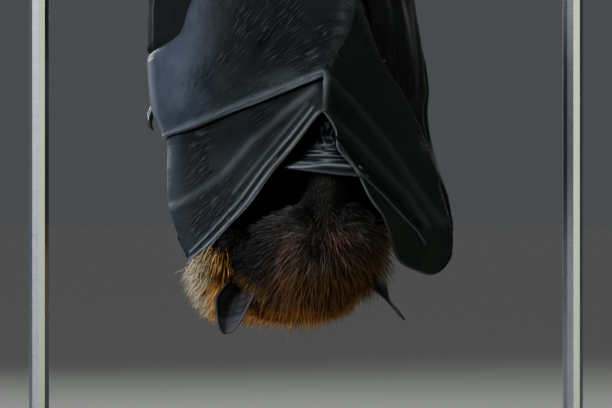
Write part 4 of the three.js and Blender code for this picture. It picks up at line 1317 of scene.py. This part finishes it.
def markings(points):
    """The coat's colour at its roots and at its tips."""
    x, y, z = points.T
    head, mantle, trunk, leg, _ = regions(points)
    chosen = settings("fruit_bat_coat")
    lids = [head * spot(x, z, place, (3.4, 2.6)) for place in ((-3, 114.5), (21.5, 115.5))]
    rims = [head * spot(x, z, (ex + 0.6, ez + 1.2), (5.2, 2.6)) for ex, _, ez in EYES]
    # painted shadow of the wings' edge on the neck beside the face
    in_shadow = (smoothstep(99, 105, z) * smoothstep(-35, -32, x + 7 * smoothstep(108, 112, z))
                 * smoothstep(18, 8, y))
    layers = (                                   # colours of roots and tips, and where they lie
        # seal-brown back, warmer belly, dark sparse legs
        ("#1a110c", "#3a281d", np.ones(len(points))),
        ("#2b1a10", "#6a4a30", smoothstep(16, 6, y) * trunk),
        ("#17110f", "#3c2a20", leg),
        # golden mantle with amber and cream tips at its left, and painted shadow where the face and the wings' edge
        # shade it
        ("#6b4420", chosen.mantle, mantle * smoothstep(135, 112, z)),
        ("#7a4a1c", "#dc9a48", mantle * smoothstep(-44, -38, x) * smoothstep(-22, -28, x) * smoothstep(10, 0, y)),
        ("#6e5030", chosen.cream, mantle * smoothstep(-33.5, -37.5, x + 0.15 * (z - 92)) * smoothstep(118, 106, z)),
        ("#070505", "#140d09", mantle * smoothstep(-31, -28, x) * smoothstep(2, -8, y) * smoothstep(84, 90, z)),
        ("#070505", "#0f0a07", (1 - head) * in_shadow),
        # black-brown face, brown crown, rusty cheek, reddish skin between the hairs, and painted shade on the left
        # side under the wing
        ("#0c0907", chosen.face, head),
        ("#1c1008", chosen.crown, head * smoothstep(109, 96, z)),
        ("#3a200e", "#7a5026", 0.8 * head * spot(x, z, (29, 99), (9, 9))),
        ("#3a1c18", "#6e463f", 0.7 * head * (spot(x, z, (14, 111.5), (6, 5)) + 0.7 * spot(x, z, (-4, 109), (5, 5)))),
        ("#040303", "#0c0806", head * smoothstep(-5, -16, x) * smoothstep(92, 101, z + 0.3 * (x + 16))),
        # golden band and fringe at the nape, and a grey-olive muzzle: grey-brown hair with a painted sheen
        ("#4c2c0c", "#a0682a", head * smoothstep(87.5, 84.0, z - 1.6 * noise(x / 5, y / 5, 1))),
        (None, "#dca04a", 0.9 * np.maximum(head, mantle) * smoothstep(80.5, 76.5, z)),
        ("#100e0b", "#2e2e24", head * smoothstep(122, 130, z)),
        # grey hairs beside the closed eyes, black rims of the lids, and painted shade on the muzzle's sides beside its
        # lit bridge
        *((None, "#8f8b86", 0.3 * lid) for lid in lids),
        *(("#040303", "#060504", rim) for rim in rims),
        ("#040303", "#090705", head * smoothstep(120, 126, z) * (1 - bump_at((x - 9.5) / 3.6, 1))),
    )
    root, tip = np.zeros((2, len(points), 3))
    for dark, pale, share in layers:
        root = root if dark is None else paint(root, dark, share)
        tip = paint(tip, pale, share)
    return root, tip


def coat_shape(points):
    """Length, lift from the skin in degrees, tuft width and number per square mm, by place."""
    x, y, z = points.T
    head, mantle, trunk, leg, arm = regions(points)
    face = head * smoothstep(100, 114, z)
    muzzle = head * smoothstep(120, 130, z)
    on_head = head * (8.5 - 3.6 * face / np.maximum(head, 1e-6)) - 2.6 * muzzle
    length = 9.5 * trunk + 6.5 * leg + 5 * arm + 14.5 * mantle + on_head
    lift = 18 * trunk + 16 * leg + 12 * arm + 38 * mantle + 24 * head - 5 * face - 6 * muzzle
    width = 0.40 * (trunk + leg + arm) + 0.44 * mantle + 0.30 * head - 0.05 * face
    count = 1.7 * trunk + 1.5 * leg + 0.5 * arm * (z > 125) + 2.9 * mantle + 4.2 * head + 2.0 * face
    side = head * smoothstep(22, 30, np.abs(x))
    length, lift = length + 2.5 * side, lift + 12 * side
    for ex, _, ez in EYES:                       # bare lids, with short hair at their edge
        lid = spot(x, z, (ex, ez - 0.5), (5.4, 4.6)) * (y < -28)
        length, count = length * (1 - 0.75 * lid), count * (1 - 0.55 * lid)
    length = length * (1 - 0.6 * mantle * smoothstep(-30, -36, x) * smoothstep(88, 80, z) * (y < 5))
    count = count - 0.5 * mantle
    rim = np.hypot((x + 15) / 31, (y - 8) / 22)       # the nape is rounded below
    length = length * (1 - 0.45 * mantle * smoothstep(0.55, 1.0, rim) * smoothstep(90, 80, z))
    shank = smoothstep(286, 300, z)
    length, count = length * (1 - 0.55 * shank), count * (1 - 0.75 * shank) * (z < 347)
    return length, lift, width, count


def hair_flow(points, normals):
    """The lie of the coat along the skin: away from the muzzle on the head, down round the neck, up the back."""
    x, y, z = points.T
    head, mantle, trunk, leg, arm = regions(points)
    source = np.stack([0 * x + 8.8, 0 * x - 46, 125 + 27 * smoothstep(119, 131, z)], -1)
    from_face = unit(points - source)
    centre = np.stack([0 * x - 8, 0 * x + 6, z], -1)
    outward = unit(points - centre)
    sag = smoothstep(124, 108, z)[:, None]
    round_neck = unit(outward * (0.55 + 0.1 * sag) + np.array([0, 0.1, 0]) + np.array([0, 0, 1.0]) * (0.8 - 2.0 * sag))
    up = np.tile([0.0, 0.1, 1.0], (len(points), 1))
    flow = head[:, None] * from_face + mantle[:, None] * round_neck + (trunk + leg + arm)[:, None] * up
    swirl = [noise(x / 9 + 3, z / 9 + y / 13, 3), noise(y / 9, z / 11, 4), noise(x / 10, y / 10 + z / 12, 2)]
    flow = unit(flow) + 0.55 * (np.stack(swirl, -1) - 0.5)
    flow -= normals * (flow * normals).sum(1, keepdims=True)
    return unit(flow)


def covered(points):
    """Places that no one sees, deep inside the wings."""
    _, y, z = points.T
    return (z > 122) & (z < 246) & (y < 22) & ~((z < 150) & (y < -15))


def front_edge():
    """The lower edges of both wings seen from the front: x and height."""
    marks = LEFT_LOW[1:9] + RIGHT_LOW[6:14]
    return np.array([wrap_point(phi, z, 0)[[0, 2]] for (phi, z), _ in marks])


def keep_in(points):
    """Draws points that would come through the wings back under them."""
    points = points.copy()
    left, right, keel, ahead, wide, back = np.moveaxis(along(STATIONS, points[:, 2]), -1, 0)
    edge = front_edge()
    behind = points[:, 2] > np.interp(points[:, 0], edge[:, 0], edge[:, 1]) + 0.5
    behind &= (points[:, 1] < wide) & (points[:, 2] < 270)
    reach = np.where(points[:, 0] < keel, keel - left, right - keel) - 5
    sine = np.clip((points[:, 0] - keel) / reach, -0.97, 0.97)
    rise = rise_to_keel(sine, np.sqrt(1 - sine ** 2))
    points[:, 0] = np.where(behind, keel + reach * sine, points[:, 0])
    points[:, 1] = np.where(behind, np.maximum(points[:, 1], wide - (wide - ahead - 5) * rise), points[:, 1])
    middle, half = (left + right) / 2, (right - left) / 2 - 5
    east, north = (points[:, 0] - middle) / half, (points[:, 1] - wide) / (back - wide - 5)
    reach = np.hypot(east, np.maximum(north, 0))
    under = (points[:, 2] > 113) & (points[:, 2] < 330) & (points[:, 1] > wide) & (np.abs(east) > 0.24)
    pull = np.where(under & (reach > 1), 1 / np.maximum(reach, 1e-6), 1.0)
    points[:, 0] = middle + (points[:, 0] - middle) * pull
    points[:, 1] = wide + (points[:, 1] - wide) * pull
    return points


def grow_coat(random, weights, density, where):
    """Roots spread evenly over the skin where they are wanted, and the skin's normals there."""
    points, quads, normals = SKIN["points"], SKIN["quads"], SKIN["normals"]
    wanted = SKIN["areas"] * weights * density * where
    amount = int(wanted.sum())
    steps = np.cumsum(wanted) / wanted.sum()
    picked = np.searchsorted(steps, (np.arange(amount) + random.rand(amount)) / amount)
    picked = np.clip(picked, 0, len(quads) - 1)
    u, v = random.rand(2, amount, 1)
    corner = [points[quads[picked, n]] for n in range(4)]
    edge = [normals[quads[picked, n]] for n in range(4)]
    blend = [(1 - u) * (1 - v), u * (1 - v), u * v, (1 - u) * v]
    roots = sum(share * place for share, place in zip(blend, corner))
    up = unit(sum(share * place for share, place in zip(blend, edge)))
    return roots, up


def tuft_paths(random, roots, up, segments, droop, longer, raised, finer):
    """The line of each tuft, from just under the skin to its tip."""
    amount = len(roots)
    length, lift, width, _ = coat_shape(roots)
    flow = hair_flow(roots, up)
    length = longer * length * (0.72 + 0.5 * random.rand(amount))
    lift = np.radians((raised + lift) * (0.7 + 0.6 * random.rand(amount)))
    spin = (random.rand(amount) - 0.5) * 0.5
    across = np.cross(up, flow)
    flow = flow * np.cos(spin)[:, None] + across * np.sin(spin)[:, None]
    # tufts lean together into locks: each is drawn towards a point of its own little patch
    cell = 2.2 + 0.22 * length
    patch = np.floor(roots / cell[:, None])
    key = (patch * np.array([73.1, 37.7, 91.3])).sum(1)
    offset = np.stack([scatter(key + k) for k in (0.0, 1.7, 3.1)], -1)
    lock = (patch + 0.25 + 0.5 * offset) * cell[:, None] - roots
    lock -= up * (lock * up).sum(1, keepdims=True)
    path = [roots - up * 0.5]
    place = roots.copy()
    for n in range(segments):
        share = (n + 0.5) / segments
        rise = lift * (1.35 - 0.9 * share)
        step = flow * np.cos(rise)[:, None] + up * np.sin(rise)[:, None]
        step = step + lock * (0.42 * share / length)[:, None]
        step[:, 2] -= droop * share * np.clip(length / 16, 0, 1) ** 2
        place = place + unit(step) * (length / segments)[:, None]
        path.append(keep_in(place))
    return np.stack(path, 1), width * finer


def build_tufts(name, random, paths, width, roots, material, slot, pale):
    """Closed, three-sided tufts along the paths, with colours from root to tip and a bake map by root."""
    amount, rings = paths.shape[:2]
    segments = rings - 1
    along_path = np.gradient(paths, axis=1)
    side = unit(np.cross(along_path, random.rand(amount, 1, 3) - 0.5))
    other = unit(np.cross(along_path, side))
    share = np.linspace(0, 1, rings)
    profile = np.interp(share, [0, 0.3, 0.7, 1], [0.7, 1.0, 0.72, 0.0])[None, 1:-1] * width[:, None] / 2
    turn = np.arange(3) * 2 * math.pi / 3
    inner = paths[:, 1:-1, None]
    ring = (inner + profile[..., None, None] * (np.cos(turn)[:, None] * side[:, 1:-1, None]
                                                + np.sin(turn)[:, None] * other[:, 1:-1, None]))
    middle = segments - 1                          # rings between the root point and the tip point
    per_tuft = 3 * middle + 2
    points = np.concatenate([paths[:, :1], ring.reshape(amount, -1, 3), paths[:, -1:]], axis=1)
    faces = []
    for s in range(3):
        faces.append((0, 1 + (s + 1) % 3, 1 + s))
        for m in range(middle - 1):
            a, b = 1 + 3 * m + s, 1 + 3 * m + (s + 1) % 3
            faces += [(a, b, b + 3), (a, b + 3, a + 3)]
        last = 1 + 3 * (middle - 1)
        faces.append((last + s, last + (s + 1) % 3, per_tuft - 1))
    faces = np.array(faces)
    all_faces = (faces[None] + (np.arange(amount) * per_tuft)[:, None, None]).reshape(-1, 3)
    tufts = new_object(name, points.reshape(-1, 3), all_faces, material, slot)

    root_colour, tip_colour = markings(roots)
    lock = scatter((np.floor(roots / LOCK_SIZE) * np.array([12.9, 78.2, 37.7])).sum(1))
    light = (0.7 + 0.6 * random.rand(amount)) * (0.62 + 0.72 * lock)
    frosted = (random.rand(amount) < pale)[:, None] * (0.35 + 0.6 * random.rand(amount, 1))
    grey = 0.014 + (pale == 1) * 0.2 * (
        smoothstep(99, 106, roots[:, 2:]) * smoothstep(-24, -8, roots[:, :1]) * (random.rand(amount, 1) < 0.6))
    tip_colour = tip_colour * (1 - frosted) + frosted * (tip_colour * 3.0 + grey)
    level = np.concatenate([[0], np.repeat(share[1:-1], 3), [1]])[None, :, None] ** 0.8
    colour = (root_colour[:, None] * (1 - level) + tip_colour[:, None] * level) * light[:, None, None]
    colour = np.concatenate([np.clip(colour, 0, 1), np.ones((amount, per_tuft, 1))], -1)
    add_field(tufts, "coat_colour", colour.reshape(-1, 4))

    # bake map: a small patch for each tuft at its root's place on an unwrap round the body
    centre = roots.mean(0)
    away = unit(roots - centre)
    turned = np.arctan2(away[:, 0], -away[:, 1]) / (2 * math.pi) + 0.5
    height = (away[:, 2] + 1) / 2
    if np.ptp(roots[:, 2]) > 90:
        height = (roots[:, 2] - roots[:, 2].min()) / np.ptp(roots[:, 2])
    corner_u = np.concatenate([[0.5], np.tile([0.0, 0.5, 1.0], middle), [0.5]]) * BAKE_PATCH
    corner_v = np.concatenate([[0.0], np.repeat(share[1:-1], 3), [1.0]]) * BAKE_PATCH
    places = np.stack([turned[:, None] * BAKE_SPAN + corner_u, height[:, None] * BAKE_SPAN + corner_v], -1)
    layer = tufts.data.uv_layers.new(name="OFBake")
    layer.data.foreach_set("uv", places.reshape(-1, 2)[all_faces.ravel()].ravel())


# Each piece of the coat: seed, slot, segments to the tip, droop of the tips, share of pale tufts, share of the full
# number, how much longer, more raised and finer than its place's tufts, and the region, x and heights of its roots.
PLAIN = (1, 0, 1)
ALL = (-999, 999)
COATS = {
    "coat_face_left": (10, "face_fur", 3, 0.10, 0.18, 1, PLAIN, "head", (-999, 8), (101, 999)),
    "coat_face_right": (11, "face_fur", 3, 0.10, 0.18, 1, PLAIN, "head", (8, 999), (101, 999)),
    "coat_crown_left": (12, "face_fur", 3, 0.15, 0.18, 1, PLAIN, "head", (-999, 0), (-999, 101)),
    "coat_crown_right": (13, "face_fur", 3, 0.15, 0.18, 1, PLAIN, "head", (0, 999), (-999, 101)),
    "coat_guard_hairs": (18, "face_fur", 4, 0.15, 1, 0.16, (1.45, 12, 0.5), "head", (-19, 999), (-999, 124)),
    "coat_cheek_wisps": (19, "face_fur", 4, 0.3, 0.5, 0.22, (1.75, 22, 0.55), "head", (21, 999), (86, 113)),
    "coat_mantle_left": (14, "mantle_fur", 4, 0.35, 0.1, 1, PLAIN, "mantle", (-999, -8), ALL),
    "coat_mantle_right": (15, "mantle_fur", 4, 0.35, 0.1, 1, PLAIN, "mantle", (-8, 999), ALL),
    "coat_back": (16, "coat_fur", 3, 0.0, 0.1, 1, PLAIN, "body", ALL, (-999, 215)),
    "coat_rump_and_legs": (17, "coat_fur", 3, 0.0, 0.1, 1, PLAIN, "body", ALL, (215, 999)),
}
FUR_ROUGHNESS = {"face_fur": 0.55, "mantle_fur": 0.5, "coat_fur": 0.6}


class FRUITBAT_OT_coat(bpy.types.Operator):
    """Grows the coat in tufts all over the skin"""

    bl_idname = "fruitbat.coat"
    bl_label = "Coat"

    def execute(self, context):
        density = settings("fruit_bat_coat").density * 1.0
        centres = SKIN["points"][SKIN["quads"]].mean(1)
        head, mantle, *_ = regions(centres)
        parts = {"head": head > 0.5, "mantle": (head <= 0.5) & (mantle > 0.5), "body": (head <= 0.5) & (mantle <= 0.5)}
        wanted = coat_shape(centres)[3] * ~covered(centres)
        fur = {name: coat_fur(name, rough) for name, rough in FUR_ROUGHNESS.items()}
        for name, (seed, slot, segments, droop, pale, share, habit, part, xs, heights) in COATS.items():
            random = np.random.RandomState(seed)
            chosen = parts[part] & within(centres[:, 0], xs) & within(centres[:, 2], heights)
            roots, up = grow_coat(random, wanted, density * share, chosen)
            paths, width = tuft_paths(random, roots, up, segments, droop, *habit)
            build_tufts(name, random, paths, width, roots, fur[slot], slot, pale)
        return {"FINISHED"}


WING_GRID, QUICK_WING_GRID = (250, 160), (150, 100)      # columns and rows of a wing's points


class FRUITBAT_OT_wings(bpy.types.Operator):
    """Makes the wings' skins with their fingers, wrinkles and hems"""

    bl_idname = "fruitbat.wings"
    bl_label = "Wings"

    def execute(self, context):
        wing = settings("fruit_bat_wing")
        material = wing_membrane(wing)
        thickness = wing.thickness / MM
        columns, rows = WING_GRID
        for name, low, high, inset, relief, flare, fans, share, look in (
            ("wing_right", RIGHT_LOW, RIGHT_HIGH, right_inset, right_relief,
             right_flare, (FAR_JOINT, KEEL_FOOT), lambda x, z: smoothstep(4, 12, x - 0.3 * (z - 179)), right_look),
            ("wing_left", LEFT_LOW, LEFT_HIGH, left_inset, left_relief, None, (FAN_LEFT, FAR_JOINT),
             lambda x, z: smoothstep(160, 190, z), left_look),
        ):
            sheet = wing_sheet(low, high, columns, rows, inset, relief, thickness, (0.5, 0.9), flare)
            dress_sheet(name, WING_NODES[name], *sheet, material, fans, share, look)
        dress_sheet("wing_fold", ["membrane_fold"], *fold_sheet(), material, ((10, 175), (10, 120)),
                    lambda x, z: smoothstep(150, 145, z), fold_look)
        for side, name, inset in ((-1, "left", left_arm_inset), (1, "right", right_arm_inset)):
            low, high = ARM_LOW, ARM_HIGH
            if side > 0:                               # this one comes out from under the wing in front
                low, high = ARM_FRONT_LOW + low, ARM_FRONT_HIGH + high
            low = [(around(side * angle, z), angle in ARM_CORNERS) for angle, z in low]
            high = [(around(side * angle, z), 0) for angle, z in high]
            sheet = wing_sheet(low, high, 2 * columns // 5, 3 * rows // 4, inset, arm_relief, thickness)
            dress_sheet(f"wing_arm_{name}", [f"membrane_arm_{name}"], *sheet, material,
                        ((side * 40, 100), (side * 60, 250)), lambda x, z: smoothstep(150, 230, z), hidden_look)
        return {"FINISHED"}


class FRUITBAT_OT_face(bpy.types.Operator):
    """Makes the ears and finishes the eyes"""

    bl_idname = "fruitbat.face"
    bl_label = "Ears and eyes"

    def execute(self, context):
        skin = bare_skin(settings("fruit_bat_coat"))
        for name, shape in EARS.items():
            points, faces, pale = ear_shell(*shape)
            ear = new_object(f"{name}_shell", points, faces, skin, "bare_skin")
            add_field(ear, "pale", pale)
            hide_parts(name)
        dress_nodes(wet_eye(), "eye_left", "eye_right")
        dress_nodes(claw_horn(), "thumb_claw_left", "thumb_claw_right")
        return {"FINISHED"}


class FRUITBAT_OT_claws(bpy.types.Operator):
    """Makes the hooked claws of the feet"""

    bl_idname = "fruitbat.claws"
    bl_label = "Claws"

    def execute(self, context):
        claws = Bundle()
        for side in (-1, 1):
            for n in TOES:
                path = toe_path(side, n)
                forward = unit(path[-1] - path[-2])
                inward = unit(np.array([path[-1][0], PERCH[0], PERCH[1]]) - path[-1])
                claw, radii = hooked_claw(path[-1] - forward * 1.2, forward, inward, 7.5, 1.25)
                claws.add(claw, radii, 10)
        horn = claw_horn()
        claws.build("foot_claws", horn, "claw")
        index = Bundle()
        joint = wrap_point(math.radians(-88), 166.5, -0.6)
        index.add(smooth_path([joint + (1.6, 0, 2.2), joint, joint + (-1.2, -0.6, -3.4), joint + (-1.0, -0.8, -6.4),
                               joint + (0.2, -0.8, -8.4)], 14), 0.25 + 1.6 * np.sqrt(np.linspace(1, 0, 15)), 12)
        index.build("index_claw_right", horn, "claw")
        return {"FINISHED"}


class FRUITBAT_PT_panel(bpy.types.Panel):
    """Lists the pieces and their settings"""

    bl_label = "Fruit bat"
    bl_idname = "FRUITBAT_PT_panel"
    bl_space_type = "VIEW_3D"
    bl_region_type = "UI"
    bl_category = "Fruit bat"

    def draw(self, context):
        for operator in OPERATORS:
            self.layout.operator(operator.bl_idname)
        for name in SETTINGS:
            group = settings(name)
            for key in group.__annotations__:
                self.layout.prop(group, key)


SETTINGS = {
    "fruit_bat_wing": WingSettings,
    "fruit_bat_coat": CoatSettings,
    "fruit_bat_stand": StandSettings,
    "fruit_bat_stage": StageSettings,
}
OPERATORS = (
    FRUITBAT_OT_stage, FRUITBAT_OT_stand, FRUITBAT_OT_skin, FRUITBAT_OT_coat,
    FRUITBAT_OT_wings, FRUITBAT_OT_face, FRUITBAT_OT_claws,
)


def register():
    for item in (*SETTINGS.values(), *OPERATORS, FRUITBAT_PT_panel):
        bpy.utils.register_class(item)
    for name, group in SETTINGS.items():
        setattr(bpy.types.Scene, name, PointerProperty(type=group))


def unregister():
    for name in SETTINGS:
        delattr(bpy.types.Scene, name)
    for item in (FRUITBAT_PT_panel, *OPERATORS, *SETTINGS.values()):
        bpy.utils.unregister_class(item)


def main():
    register()
    bpy.ops.fruitbat.stage()
    bpy.ops.fruitbat.stand()
    bpy.ops.fruitbat.skin()
    bpy.ops.fruitbat.coat()
    bpy.ops.fruitbat.wings()
    bpy.ops.fruitbat.face()
    bpy.ops.fruitbat.claws()


if __name__ == "__main__":
    main()
